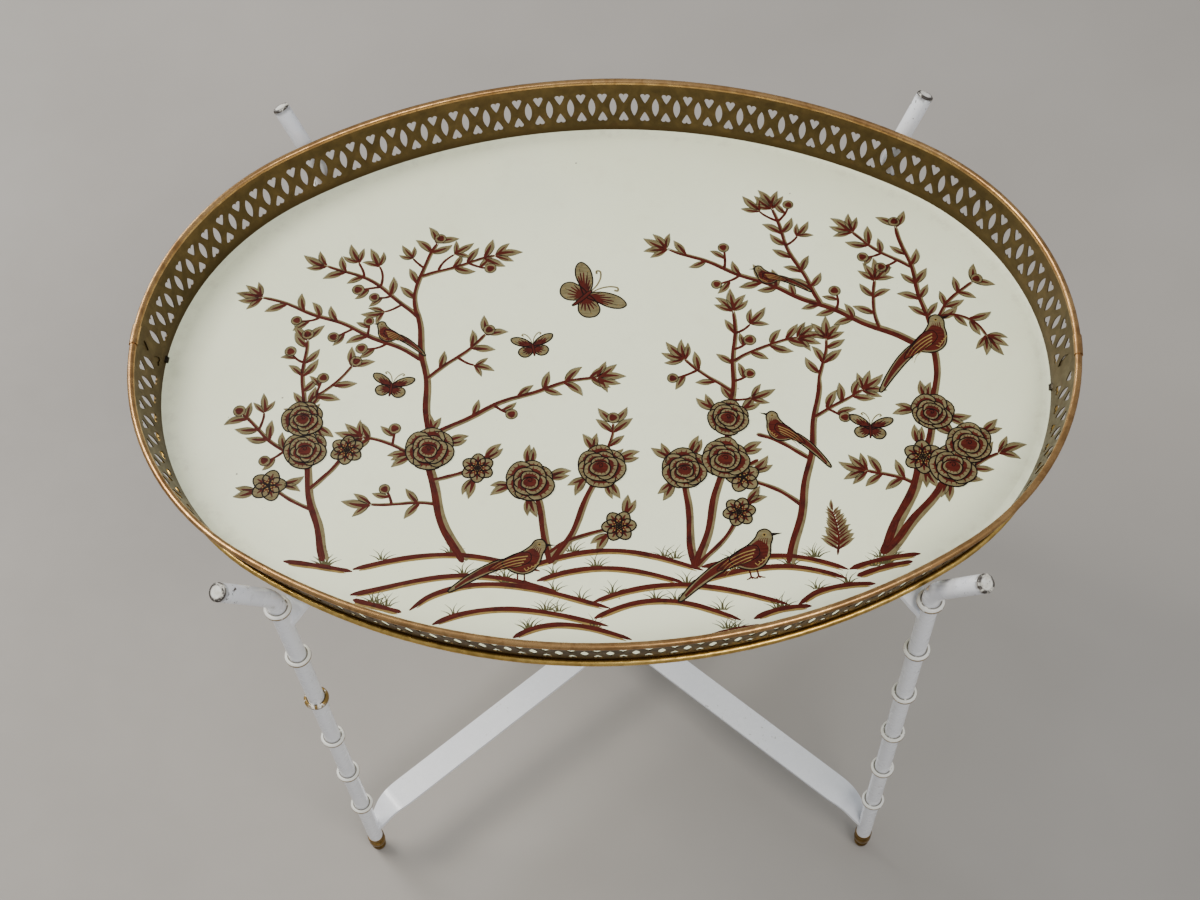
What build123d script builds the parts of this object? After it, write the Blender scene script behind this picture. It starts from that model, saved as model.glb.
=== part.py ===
from build123d import *
import math
import os

os.makedirs("parts", exist_ok=True)

# ---------------------------------------------------------------------------
# Brass-gallery tray table on a folding faux-bamboo stand.
# Millimetres. +Z up, floor at Z = 0, Z axis through the pivots of the stand,
# X along the tray's long axis, -Y the front.
# ---------------------------------------------------------------------------

# tray outline: a four-centre oval, taken at the centre of the top bead
TRAY_A = 324.5            # half length
TRAY_B = 234.6            # half width
END_R = 197.0             # radius of the two end arcs
FLOOR_Z = 488.5           # top face of the tray floor
FLOOR_T = 1.0             # tray sheet
BEAD_Z = 531.3            # centre of the top bead
FLARE = 11.1              # how far the gallery leans out over its height
WALL_T = 0.8              # gallery strip
TOP_BEAD_R = 2.4
SLEEVE_R = 3.0            # swaged end of a top bead that takes the next one
BASE_BEAD_R = 2.4
BASE_BEAD_IN = 7.9        # base bead centre, inside the top bead's centre line
BASE_BEAD_Z = FLOOR_Z + 1.4
COVE_W = 5.0              # soft rise of the floor towards the gallery
COVE_H = 1.3

# gallery seams, as angles about the centre of the end arc they lie on
SEAM_RIGHT = -6.5
SEAM_LEFT = 175.9
TAIL_DEG = 3.6            # how far a strip runs on behind the other one

# pierced pattern
UNITS = 107               # repeats round the whole tray
LENS_W, LENS_H, LENS_DOWN = 5.2, 16.3, 22.4
HEART_W, HEART_H = 6.3, 8.6
HEART_TOP_DOWN, HEART_LOW_DOWN = 14.8, 30.7

# stand
LEG_R = 281.3             # leg axis from the centre pivot
LEG_ANGLE = 40.1          # leg direction from the X axis
TUBE_D = 12.7
TUBE_BORE = 10.3
TUBE_BOTTOM = 28.1
HORN_START_Z = 484.6      # where the tube starts to bend outward
HORN_BEND_R = 40.0
HORN_BEND_DEG = 32.0
HORN_TIP_Z = 545.0
COLLAR_Z = [108.1 + 74.7 * i for i in range(6)]
COLLAR_D = 18.8
COLLAR_H = 5.0

# flat cross bars
BAR_W = 24.0
BAR_T = 3.0
BAR_GAP = 0.8             # washer room between crossing bars
BAR_BEND_START = 30.0     # the bar starts to turn down this far from the leg axis
BAR_BEND_R = 20.0
BAR_BEND_DEG = 50.0
UPPER_BAR_A_TOP = 487.4
LOWER_BAR_A_TOP = 74.1
PIVOT_D = 6.0
PIVOT_HOLE_D = 6.1

side_r = ((TRAY_A - END_R) ** 2 + TRAY_B ** 2 - END_R ** 2) / (2 * (TRAY_B - END_R))
c_end = TRAY_A - END_R
c_side = side_r - TRAY_B
junction = math.degrees(math.atan2(c_side, c_end))
beta = math.degrees(math.atan2(FLARE - WALL_T / 2, BEAD_Z - FLOOR_Z))


# arc spans of the oval: centre x, centre y, radius at the top bead, from, to
def oval_spans(start, end):
    arcs = [
        (c_end, 0.0, END_R, -junction, junction),
        (0.0, -c_side, side_r, junction, 180 - junction),
        (-c_end, 0.0, END_R, 180 - junction, 180 + junction),
        (0.0, c_side, side_r, 180 + junction, 360 - junction),
        (c_end, 0.0, END_R, 360 - junction, 360 + junction),
    ]
    spans = []
    for cx, cy, r, a0, a1 in arcs:
        lo, hi = max(a0, start), min(a1, end)
        if hi - lo > 1e-6:
            spans.append((cx, cy, r, lo, hi))
    return spans


def radial_plane(cx, cy, angle):
    c, s = math.cos(math.radians(angle)), math.sin(math.radians(angle))
    return Plane(origin=(cx, cy, 0), x_dir=(c, s, 0), z_dir=(s, -c, 0))


def turn(profile, cx, cy, sweep_deg, mode=Mode.ADD):
    revolve(profile.sketch, axis=Axis((cx, cy, 0), (0, 0, 1)), revolution_arc=sweep_deg, mode=mode)


def wall_points(r, inner, outer, z0, z1):
    # the gallery strip's section, leaning out by beta
    t = math.tan(math.radians(beta))
    base = r - FLARE
    return [
        (base + inner + (z0 - FLOOR_Z) * t, z0),
        (base + outer + (z0 - FLOOR_Z) * t, z0),
        (base + outer + (z1 - FLOOR_Z) * t, z1),
        (base + inner + (z1 - FLOOR_Z) * t, z1),
    ]


def point_on_oval(s_len, inset):
    # point, tangent angle and normal angle at a length along the inset oval
    arcs = oval_spans(-junction, 360 - junction)
    total = sum(math.radians(a1 - a0) * (r - inset) for _, _, r, a0, a1 in arcs)
    s_len = s_len % total
    for cx, cy, r, a0, a1 in arcs:
        run = math.radians(a1 - a0) * (r - inset)
        if s_len <= run:
            ang = a0 + math.degrees(s_len / (r - inset))
            return cx, cy, r, ang, total
        s_len -= run
    cx, cy, r, a0, a1 = arcs[-1]
    return cx, cy, r, a1, total


def wall_plane(cx, cy, r, ang):
    # plane square to the gallery strip, half way up it; local +Y runs up the slant
    c, s = math.cos(math.radians(ang)), math.sin(math.radians(ang))
    b = math.radians(beta)
    slant = (BEAD_Z - FLOOR_Z) / math.cos(b)
    down = slant / 2
    rad = r - WALL_T / 2 * 0 - down * math.sin(b)
    z = BEAD_Z - down * math.cos(b)
    normal = (c * math.cos(b), s * math.cos(b), -math.sin(b))
    return Plane(origin=(cx + rad * c, cy + rad * s, z), x_dir=(-s, c, 0), z_dir=normal), slant


mid_inset = FLARE * 0.5
_, _, _, _, mid_total = point_on_oval(0, mid_inset)
pitch = mid_total / UNITS


def unit_angles(start, end, phase):
    # angles where the pattern repeats fall between two end angles of a strip
    found = []
    n = UNITS * 2
    for k in range(n):
        cx, cy, r, ang, _ = point_on_oval((k * 0.5 + phase) * pitch, mid_inset)
        shown = ang if ang >= start else ang + 360
        if start <= shown <= end or start <= ang <= end:
            found.append((k % 2, cx, cy, r, ang))
    return found


def pierce(planes_lens, planes_heart, slant):
    with BuildSketch(*planes_lens) as lenses:
        with BuildLine():
            dy = slant / 2 - LENS_DOWN
            ThreePointArc((0, dy + LENS_H / 2), (LENS_W / 2, dy), (0, dy - LENS_H / 2))
            ThreePointArc((0, dy - LENS_H / 2), (-LENS_W / 2, dy), (0, dy + LENS_H / 2))
        make_face()
    extrude(lenses.sketch, amount=3.0, both=True, mode=Mode.SUBTRACT)
    for sign, down in ((1, HEART_TOP_DOWN), (-1, HEART_LOW_DOWN)):
        with BuildSketch(*planes_heart) as hearts:
            with BuildLine():
                dy = slant / 2 - down
                tip = (0, dy - sign * HEART_H / 2)
                shoulder = dy + sign * HEART_H * 0.16
                crown = dy + sign * HEART_H / 2
                notch = (0, dy + sign * HEART_H * 0.31)
                right = (HEART_W / 2, shoulder)
                left = (-HEART_W / 2, shoulder)
                ThreePointArc(tip, (HEART_W * 0.30, dy - sign * HEART_H * 0.16), right)
                ThreePointArc(right, (HEART_W * 0.30, crown), notch)
                ThreePointArc(notch, (-HEART_W * 0.30, crown), left)
                ThreePointArc(left, (-HEART_W * 0.30, dy - sign * HEART_H * 0.16), tip)
            make_face()
        extrude(hearts.sketch, amount=3.0, both=True, mode=Mode.SUBTRACT)


def gallery_strip(start, end, tail_from, tail_to, phase):
    for cx, cy, r, a0, a1 in oval_spans(start, end):
        with BuildSketch(radial_plane(cx, cy, a0)) as profile:
            Polygon(*wall_points(r, 0.0, WALL_T, FLOOR_Z, BEAD_Z), align=None)
        turn(profile, cx, cy, a1 - a0)
    # the lapping tail lies behind the other strip, against its outer face
    cx, cy, r, a0, a1 = oval_spans(tail_from, tail_to)[0]
    with BuildSketch(radial_plane(cx, cy, tail_from)) as profile:
        Polygon(*wall_points(r, WALL_T, 2 * WALL_T, BASE_BEAD_Z + 3.2, BEAD_Z - 3.6), align=None)
    turn(profile, cx, cy, tail_to - tail_from)


MARGIN = 1.35  # degrees kept whole at a strip's visible end

# --- gallery, back half: its right end is on show, its left end runs behind ---
with BuildPart() as gallery_back:
    gallery_strip(SEAM_RIGHT, SEAM_LEFT, SEAM_LEFT - 0.8, SEAM_LEFT + TAIL_DEG, 0.0)
    lens, heart = [], []
    for odd, cx, cy, r, ang in unit_angles(SEAM_RIGHT + MARGIN, SEAM_LEFT - MARGIN, 0.0):
        if not (SEAM_RIGHT + MARGIN <= ang <= SEAM_LEFT - MARGIN):
            if not (SEAM_RIGHT + MARGIN <= ang - 360 <= SEAM_LEFT - MARGIN):
                continue
        plane, slant = wall_plane(cx, cy, r, ang)
        (heart if odd else lens).append(plane)
    pierce(lens, heart, slant)
gallery_back.part.label = "gallery_back"
export_step(gallery_back.part, "parts/gallery_back.step")

# --- gallery, front half ---
with BuildPart() as gallery_front:
    gallery_strip(SEAM_LEFT, 360 + SEAM_RIGHT, 360 + SEAM_RIGHT - 0.8,
                  360 + SEAM_RIGHT + TAIL_DEG, 0.3)
    lens, heart = [], []
    for odd, cx, cy, r, ang in unit_angles(SEAM_LEFT + MARGIN, 360 + SEAM_RIGHT - MARGIN, 0.35):
        shown = ang if ang > 0 else ang + 360
        if not (SEAM_LEFT + MARGIN <= shown <= 360 + SEAM_RIGHT - MARGIN):
            continue
        plane, slant = wall_plane(cx, cy, r, ang)
        (heart if odd else lens).append(plane)
    pierce(lens, heart, slant)
gallery_front.part.label = "gallery_front"
export_step(gallery_front.part, "parts/gallery_front.step")


# --- top beads: split tube closed over the strip's edge, with a swaged socket end ---
def bead(start, end, socket_at, socket_dir, male_to):
    spans = oval_spans(start, end)
    for cx, cy, r, a0, a1 in spans:
        with BuildSketch(radial_plane(cx, cy, a0)) as profile:
            with Locations((r, BEAD_Z)):
                Circle(TOP_BEAD_R)
            Polygon(*wall_points(r, 0.0, WALL_T, FLOOR_Z, BEAD_Z), align=None, mode=Mode.SUBTRACT)
        turn(profile, cx, cy, a1 - a0)
    # socket: a wider length with a conical run-in
    cx, cy, r, _, _ = spans[0] if socket_dir > 0 else spans[-1]
    a_mouth = socket_at
    a_full = socket_at + socket_dir * 4.6
    lo, hi = min(a_mouth, a_full), max(a_mouth, a_full)
    with BuildSketch(radial_plane(cx, cy, lo)) as profile:
        with Locations((r, BEAD_Z)):
            Circle(SLEEVE_R)
        with Locations((r, BEAD_Z)):
            Circle(TOP_BEAD_R, mode=Mode.SUBTRACT)
        Polygon(*wall_points(r, 0.0, WALL_T, FLOOR_Z, BEAD_Z), align=None, mode=Mode.SUBTRACT)
    turn(profile, cx, cy, hi - lo)


MALE = 2.2  # degrees the plain end of a bead reaches into the other one's socket

with BuildPart() as top_bead_back:
    bead(SEAM_RIGHT + MALE, SEAM_LEFT + MALE, SEAM_RIGHT, 1, None)
top_bead_back.part.label = "top_bead_back"
export_step(top_bead_back.part, "parts/top_bead_back.step")

with BuildPart() as top_bead_front:
    bead(SEAM_LEFT + MALE, 360 + SEAM_RIGHT + MALE, SEAM_LEFT, 1, None)
top_bead_front.part.label = "top_bead_front"
export_step(top_bead_front.part, "parts/top_bead_front.step")

# --- base bead: the rolled rim that grips the tray sheet's edge ---
with BuildPart() as base_bead:
    for cx, cy, r, a0, a1 in oval_spans(-junction, 360 - junction):
        with BuildSketch(radial_plane(cx, cy, a0)) as profile:
            with Locations((r - BASE_BEAD_IN, BASE_BEAD_Z)):
                Circle(BASE_BEAD_R)
            Polygon(*wall_points(r, -6.0, WALL_T, FLOOR_Z, BEAD_Z), align=None, mode=Mode.SUBTRACT)
            with Locations((r - BASE_BEAD_IN - 8.0 + 0.2, FLOOR_Z - FLOOR_T / 2)):
                Rectangle(16.0, FLOOR_T, mode=Mode.SUBTRACT)
        turn(profile, cx, cy, a1 - a0)
base_bead.part.label = "base_bead"
export_step(base_bead.part, "parts/base_bead.step")

# --- tray floor: one oval sheet with a soft cove where it meets the gallery ---
edge_in = BASE_BEAD_IN - 0.2


def oval_outline(inset):
    u = (math.cos(math.radians(junction)), math.sin(math.radians(junction)))
    jx = (side_r - inset) * u[0]
    jy = -c_side + (side_r - inset) * u[1]
    a, b = TRAY_A - inset, TRAY_B - inset
    ThreePointArc((jx, -jy), (a, 0), (jx, jy))
    ThreePointArc((jx, jy), (0, b), (-jx, jy))
    ThreePointArc((-jx, jy), (-a, 0), (-jx, -jy))
    ThreePointArc((-jx, -jy), (0, -b), (jx, -jy))


with BuildPart() as tray_floor:
    with BuildSketch(Plane.XY.offset(FLOOR_Z - FLOOR_T)):
        with BuildLine():
            oval_outline(edge_in)
        make_face()
    extrude(amount=FLOOR_T)
    for cx, cy, r, a0, a1 in oval_spans(-junction, 360 - junction):
        with BuildSketch(radial_plane(cx, cy, a0)) as profile:
            with BuildLine():
                foot = (r - FLARE - COVE_W, FLOOR_Z)
                top = (r - FLARE + COVE_H * math.tan(math.radians(beta)), FLOOR_Z + COVE_H)
                mid = (r - FLARE - COVE_W * 0.35, FLOOR_Z + COVE_H * 0.36)
                ThreePointArc(foot, mid, top)
                Line(top, (r - FLARE, FLOOR_Z))
                Line((r - FLARE, FLOOR_Z), foot)
            make_face()
        turn(profile, cx, cy, a1 - a0)
tray_floor.part.label = "tray_floor"
export_step(tray_floor.part, "parts/tray_floor.step")

# --- solder tacks at the foot of each gallery seam ---
with BuildPart() as solder_tacks:
    for cx, ang in ((c_end, SEAM_RIGHT), (-c_end, SEAM_LEFT)):
        r_in = END_R - FLARE + COVE_H * math.tan(math.radians(beta))
        with BuildSketch(radial_plane(cx, 0, ang - 0.75)) as profile:
            with BuildLine():
                t = math.tan(math.radians(beta))
                p0 = (r_in, FLOOR_Z + COVE_H)
                p1 = (r_in + 2.8 * t, FLOOR_Z + COVE_H + 2.8)
                p2 = (r_in - 1.6, FLOOR_Z + COVE_H - 0.05)
                Line(p0, p1)
                ThreePointArc(p1, (r_in - 0.55, FLOOR_Z + COVE_H + 1.6), p2)
                Line(p2, p0)
            make_face()
        turn(profile, cx, 0, 1.5)
with BuildPart() as solder_clean:
    add(solder_tacks.part)
    add(tray_floor.part, mode=Mode.SUBTRACT)
solder_clean.part.label = "solder_tacks"
export_step(solder_clean.part, "parts/solder_tacks.step")

# ---------------------------------------------------------------------------
# stand: two pivoted frames. Frame A holds the front-right and back-left legs,
# frame B the front-left and back-right legs. A's bars cross over B's.
# ---------------------------------------------------------------------------
legs = {
    "front_right": -LEG_ANGLE,
    "back_left": 180 - LEG_ANGLE,
    "front_left": 180 + LEG_ANGLE,
    "back_right": LEG_ANGLE,
}

bend = math.radians(HORN_BEND_DEG)
bend_end = (LEG_R + HORN_BEND_R * (1 - math.cos(bend)),
            HORN_START_Z + HORN_BEND_R * math.sin(bend))
straight = (HORN_TIP_Z - bend_end[1]) / math.cos(bend)
tip = (bend_end[0] + straight * math.sin(bend), HORN_TIP_Z)

for leg_name, ang in legs.items():
    plane = radial_plane(0, 0, ang)
    ca, sa = math.cos(math.radians(ang)), math.sin(math.radians(ang))
    ax, ay = LEG_R * ca, LEG_R * sa

    # tube with its horn bent outward
    with BuildPart() as leg:
        with BuildLine(plane) as path:
            Line((LEG_R, TUBE_BOTTOM), (LEG_R, HORN_START_Z))
            ThreePointArc(
                (LEG_R, HORN_START_Z),
                (LEG_R + HORN_BEND_R * (1 - math.cos(bend / 2)),
                 HORN_START_Z + HORN_BEND_R * math.sin(bend / 2)),
                bend_end)
            Line(bend_end, tip)
        with BuildSketch(Plane(origin=(ax, ay, TUBE_BOTTOM), x_dir=(ca, sa, 0), z_dir=(0, 0, 1))):
            Circle(TUBE_D / 2)
            Circle(TUBE_BORE / 2, mode=Mode.SUBTRACT)
        sweep(path=path.wires()[0])
    leg.part.label = "leg_" + leg_name
    export_step(leg.part, "parts/leg_%s.step" % leg_name)

    # six node collars
    with BuildPart() as collars:
        for z in COLLAR_Z:
            with BuildSketch(plane):
                with BuildLine():
                    h, ri, ro = COLLAR_H / 2, TUBE_D / 2, COLLAR_D / 2
                    Line((LEG_R + ri, z - h), (LEG_R + ri, z + h))
                    Line((LEG_R + ri, z + h), (LEG_R + ro - 1.5, z + h))
                    ThreePointArc((LEG_R + ro - 1.5, z + h), (LEG_R + ro, z), (LEG_R + ro - 1.5, z - h))
                    Line((LEG_R + ro - 1.5, z - h), (LEG_R + ri, z - h))
                make_face()
            revolve(axis=Axis((ax, ay, 0), (0, 0, 1)), revolution_arc=360)
    collars.part.label = "collars_" + leg_name
    export_step(collars.part, "parts/collars_%s.step" % leg_name)

    # turned foot with a spigot up the tube
    with BuildPart() as foot:
        with BuildSketch(plane):
            with BuildLine():
                x = LEG_R
                Line((x, 0.0), (x, 44.0))
                Line((x, 44.0), (x + TUBE_BORE / 2 - 0.8, 44.0))
                Line((x + TUBE_BORE / 2 - 0.8, 44.0), (x + TUBE_BORE / 2, 42.8))
                Line((x + TUBE_BORE / 2, 42.8), (x + TUBE_BORE / 2, TUBE_BOTTOM))
                Line((x + TUBE_BORE / 2, TUBE_BOTTOM), (x + 6.6, TUBE_BOTTOM))
                ThreePointArc((x + 6.6, TUBE_BOTTOM), (x + 7.2, TUBE_BOTTOM - 1.7), (x + 6.6, TUBE_BOTTOM - 3.4))
                Line((x + 6.6, TUBE_BOTTOM - 3.4), (x + 5.7, TUBE_BOTTOM - 3.9))
                Line((x + 5.7, TUBE_BOTTOM - 3.9), (x + 5.7, TUBE_BOTTOM - 5.2))
                ThreePointArc((x + 5.7, TUBE_BOTTOM - 5.2), (x + 7.3, TUBE_BOTTOM - 10.6), (x + 5.9, TUBE_BOTTOM - 16.2))
                Line((x + 5.9, TUBE_BOTTOM - 16.2), (x + 5.0, TUBE_BOTTOM - 17.0))
                Line((x + 5.0, TUBE_BOTTOM - 17.0), (x + 5.0, TUBE_BOTTOM - 18.4))
                ThreePointArc((x + 5.0, TUBE_BOTTOM - 18.4), (x + 6.2, TUBE_BOTTOM - 21.6), (x + 4.9, 2.0))
                Line((x + 4.9, 2.0), (x + 4.4, 0.0))
                Line((x + 4.4, 0.0), (x, 0.0))
            make_face()
        revolve(axis=Axis((ax, ay, 0), (0, 0, 1)), revolution_arc=360)
    foot.part.label = "foot_" + leg_name
    export_step(foot.part, "parts/foot_%s.step" % leg_name)

    # plug that closes the horn's cut end
    sb, cb = math.sin(bend), math.cos(bend)
    tip_plane = Plane(origin=(tip[0] * ca, tip[0] * sa, tip[1]), x_dir=(-sa, ca, 0),
                      z_dir=(sb * ca, sb * sa, cb))
    with BuildPart() as plug:
        with BuildSketch(tip_plane):
            Circle(TUBE_D / 2)
        extrude(amount=1.8)
        fillet(plug.edges().filter_by(GeomType.CIRCLE).sort_by(Axis((0, 0, 0), tuple(tip_plane.z_dir)))[-1], 1.3)
        with BuildSketch(tip_plane):
            Circle(TUBE_BORE / 2)
        extrude(amount=-9.0)
    plug.part.label = "horn_plug_" + leg_name
    export_step(plug.part, "parts/horn_plug_%s.step" % leg_name)


# flat bar with both ends turned down and narrowed to meet the tubes
def cross_bar(ang, z_top, hole_d, countersink):
    side = radial_plane(0, 0, ang)
    zc = z_top - BAR_T / 2
    x1 = LEG_R - BAR_BEND_START
    a = math.radians(BAR_BEND_DEG)
    ro, ri = BAR_BEND_R + BAR_T / 2, BAR_BEND_R - BAR_T / 2
    zc0 = zc - BAR_BEND_R
    reach = 22.0
    dx, dz = math.cos(a), -math.sin(a)

    def ring(rad, t):
        return (x1 + rad * math.sin(t), zc0 + rad * math.cos(t))

    o_end, i_end = ring(ro, a), ring(ri, a)
    o_far = (o_end[0] + reach * dx, o_end[1] + reach * dz)
    i_far = (i_end[0] + reach * dx, i_end[1] + reach * dz)
    with BuildSketch(side) as side_view:
        with BuildLine():
            Line((-x1, z_top), (x1, z_top))
            ThreePointArc((x1, z_top), ring(ro, a / 2), o_end)
            Line(o_end, o_far)
            Line(o_far, i_far)
            Line(i_far, i_end)
            ThreePointArc(i_end, ring(ri, a / 2), (x1, z_top - BAR_T))
            Line((x1, z_top - BAR_T), (-x1, z_top - BAR_T))
            mi = [(-p[0], p[1]) for p in (i_end, i_far, o_far, o_end)]
            ri_mid, ro_mid = ring(ri, a / 2), ring(ro, a / 2)
            ThreePointArc((-x1, z_top - BAR_T), (-ri_mid[0], ri_mid[1]), mi[0])
            Line(mi[0], mi[1])
            Line(mi[1], mi[2])
            Line(mi[2], mi[3])
            ThreePointArc(mi[3], (-ro_mid[0], ro_mid[1]), (-x1, z_top))
        make_face()
    extrude(side_view.sketch, amount=BAR_W / 2, both=True)
    c, s = math.cos(math.radians(ang)), math.sin(math.radians(ang))
    plan = Plane(origin=(0, 0, z_top - 80), x_dir=(c, s, 0), z_dir=(0, 0, 1))
    w, n = BAR_W / 2, 5.8
    xa, xm, xb = LEG_R - 36.0, LEG_R - 20.0, LEG_R - 2.0
    with BuildSketch(plan) as plan_view:
        with BuildLine():
            Line((-xa, w), (xa, w))
            ThreePointArc((xa, w), (xm, w - 1.7), (xb, n))
            Line((xb, n), (xb, -n))
            ThreePointArc((xb, -n), (xm, -w + 1.7), (xa, -w))
            Line((xa, -w), (-xa, -w))
            ThreePointArc((-xa, -w), (-xm, -w + 1.7), (-xb, -n))
            Line((-xb, -n), (-xb, n))
            ThreePointArc((-xb, n), (-xm, w - 1.7), (-xa, w))
        make_face()
    extrude(plan_view.sketch, amount=120, mode=Mode.INTERSECT)
    # seats on the tubes, and the pivot hole
    with BuildSketch(plan) as seats:
        with Locations((LEG_R, 0), (-LEG_R, 0)):
            Circle(TUBE_D / 2)
        Circle(hole_d / 2)
    extrude(seats.sketch, amount=120, mode=Mode.SUBTRACT)
    if countersink:
        with BuildSketch(side) as sink:
            with BuildLine():
                Line((0, z_top), (6.0, z_top))
                Line((6.0, z_top), (PIVOT_D / 2, z_top - 2.4))
                Line((PIVOT_D / 2, z_top - 2.4), (0, z_top - 2.4))
                Line((0, z_top - 2.4), (0, z_top))
            make_face()
        turn(sink, 0, 0, 360, mode=Mode.SUBTRACT)


with BuildPart() as upper_bar_a:
    cross_bar(-LEG_ANGLE, UPPER_BAR_A_TOP, PIVOT_D, True)
upper_bar_a.part.label = "upper_bar_a"
export_step(upper_bar_a.part, "parts/upper_bar_a.step")

with BuildPart() as lower_bar_a:
    cross_bar(-LEG_ANGLE, LOWER_BAR_A_TOP, PIVOT_D, False)
lower_bar_a.part.label = "lower_bar_a"
export_step(lower_bar_a.part, "parts/lower_bar_a.step")

upper_b_top = UPPER_BAR_A_TOP - BAR_T - BAR_GAP
lower_b_top = LOWER_BAR_A_TOP - BAR_T - BAR_GAP

with BuildPart() as upper_bar_b:
    cross_bar(LEG_ANGLE, upper_b_top, PIVOT_HOLE_D, False)
upper_bar_b.part.label = "upper_bar_b"
export_step(upper_bar_b.part, "parts/upper_bar_b.step")

with BuildPart() as lower_bar_b:
    cross_bar(LEG_ANGLE, lower_b_top, PIVOT_HOLE_D, False)
lower_bar_b.part.label = "lower_bar_b"
export_step(lower_bar_b.part, "parts/lower_bar_b.step")

# washers between the crossing bars
for label, a_top in (("upper_pivot_washer", UPPER_BAR_A_TOP), ("lower_pivot_washer", LOWER_BAR_A_TOP)):
    with BuildPart() as washer:
        with BuildSketch(Plane.XY.offset(a_top - BAR_T - BAR_GAP + 0.1)):
            Circle(8.0)
            Circle(PIVOT_D / 2, mode=Mode.SUBTRACT)
        extrude(amount=BAR_GAP - 0.1)
    washer.part.label = label
    export_step(washer.part, "parts/%s.step" % label)

# upper pivot screw: countersunk, so that the tray sits flat over it
shank_upper = upper_b_top - BAR_T - 6.4
with BuildPart() as upper_pivot_screw:
    with BuildSketch(Plane.XZ):
        with BuildLine():
            zt = UPPER_BAR_A_TOP
            Line((0, shank_upper), (0, zt - 0.15))
            Line((0, zt - 0.15), (5.8, zt - 0.15))
            Line((5.8, zt - 0.15), (PIVOT_D / 2, zt - 2.4))
            Line((PIVOT_D / 2, zt - 2.4), (PIVOT_D / 2, shank_upper + 0.5))
            Line((PIVOT_D / 2, shank_upper + 0.5), (PIVOT_D / 2 - 0.5, shank_upper))
            Line((PIVOT_D / 2 - 0.5, shank_upper), (0, shank_upper))
        make_face()
    revolve(axis=Axis.Z, revolution_arc=360)
    # driver slot
    with BuildSketch(Plane.XY.offset(UPPER_BAR_A_TOP - 1.2)):
        Rectangle(14, 1.3)
    extrude(amount=2.0, mode=Mode.SUBTRACT)
upper_pivot_screw.part.label = "upper_pivot_screw"
export_step(upper_pivot_screw.part, "parts/upper_pivot_screw.step")

# lower pivot screw: round head on top of the bars
shank_lower = lower_b_top - BAR_T - 6.4
with BuildPart() as lower_pivot_screw:
    with BuildSketch(Plane.XZ):
        with BuildLine():
            zt = LOWER_BAR_A_TOP
            Line((0, shank_lower), (0, zt + 3.4))
            ThreePointArc((0, zt + 3.4), (3.9, zt + 2.3), (5.6, zt))
            Line((5.6, zt), (PIVOT_D / 2, zt))
            Line((PIVOT_D / 2, zt), (PIVOT_D / 2, shank_lower + 0.5))
            Line((PIVOT_D / 2, shank_lower + 0.5), (PIVOT_D / 2 - 0.5, shank_lower))
            Line((PIVOT_D / 2 - 0.5, shank_lower), (0, shank_lower))
        make_face()
    revolve(axis=Axis.Z, revolution_arc=360)
    with BuildSketch(Plane.XY.offset(LOWER_BAR_A_TOP + 2.0)):
        Rectangle(14, 1.3)
    extrude(amount=3.0, mode=Mode.SUBTRACT)
lower_pivot_screw.part.label = "lower_pivot_screw"
export_step(lower_pivot_screw.part, "parts/lower_pivot_screw.step")

# hexagon nuts under the lower bars of each crossing
for label, top in (("upper_pivot_nut", upper_b_top - BAR_T - 0.1), ("lower_pivot_nut", lower_b_top - BAR_T - 0.1)):
    with BuildPart() as nut:
        with BuildSketch(Plane.XY.offset(top - 5.0)):
            RegularPolygon(radius=5.0, side_count=6, major_radius=False)
            Circle(PIVOT_D / 2, mode=Mode.SUBTRACT)
        extrude(amount=5.0)
    nut.part.label = label
    export_step(nut.part, "parts/%s.step" % label)

print("oval side radius %.2f, junction %.2f deg, wall lean %.2f deg, pitch %.2f" % (side_r, junction, beta, pitch))
print("horn tip at radius %.2f, z %.2f" % tip)
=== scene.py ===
import bpy
import math
import random
from mathutils import Matrix, Vector


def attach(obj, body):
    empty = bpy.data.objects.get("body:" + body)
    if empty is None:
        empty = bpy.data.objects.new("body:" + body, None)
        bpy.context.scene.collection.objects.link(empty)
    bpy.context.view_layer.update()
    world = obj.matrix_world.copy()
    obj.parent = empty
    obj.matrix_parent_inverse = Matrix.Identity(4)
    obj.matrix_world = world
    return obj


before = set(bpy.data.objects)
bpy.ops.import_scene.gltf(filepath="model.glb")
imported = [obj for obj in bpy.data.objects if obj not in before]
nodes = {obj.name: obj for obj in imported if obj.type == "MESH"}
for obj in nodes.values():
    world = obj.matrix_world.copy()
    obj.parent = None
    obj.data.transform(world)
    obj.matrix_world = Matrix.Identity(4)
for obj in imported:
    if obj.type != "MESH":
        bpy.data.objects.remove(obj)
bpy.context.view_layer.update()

MM = 0.001
FLOOR_TOP = 488.5          # top of the tray floor, mm
LEGS = {"front_right": -40.1, "back_left": 139.9, "front_left": 220.1, "back_right": 40.1}
TIP_R, TIP_Z, TIP_TILT = 311.87, 545.0, 32.0


def lin(r, g, b):
    """sRGB 0-255 to a linear colour."""
    out = []
    for c in (r, g, b):
        c /= 255.0
        out.append(c / 12.92 if c <= 0.04045 else ((c + 0.055) / 1.055) ** 2.4)
    return tuple(out) + (1.0,)


# --------------------------------------------------------------------------
# materials
# --------------------------------------------------------------------------

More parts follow.
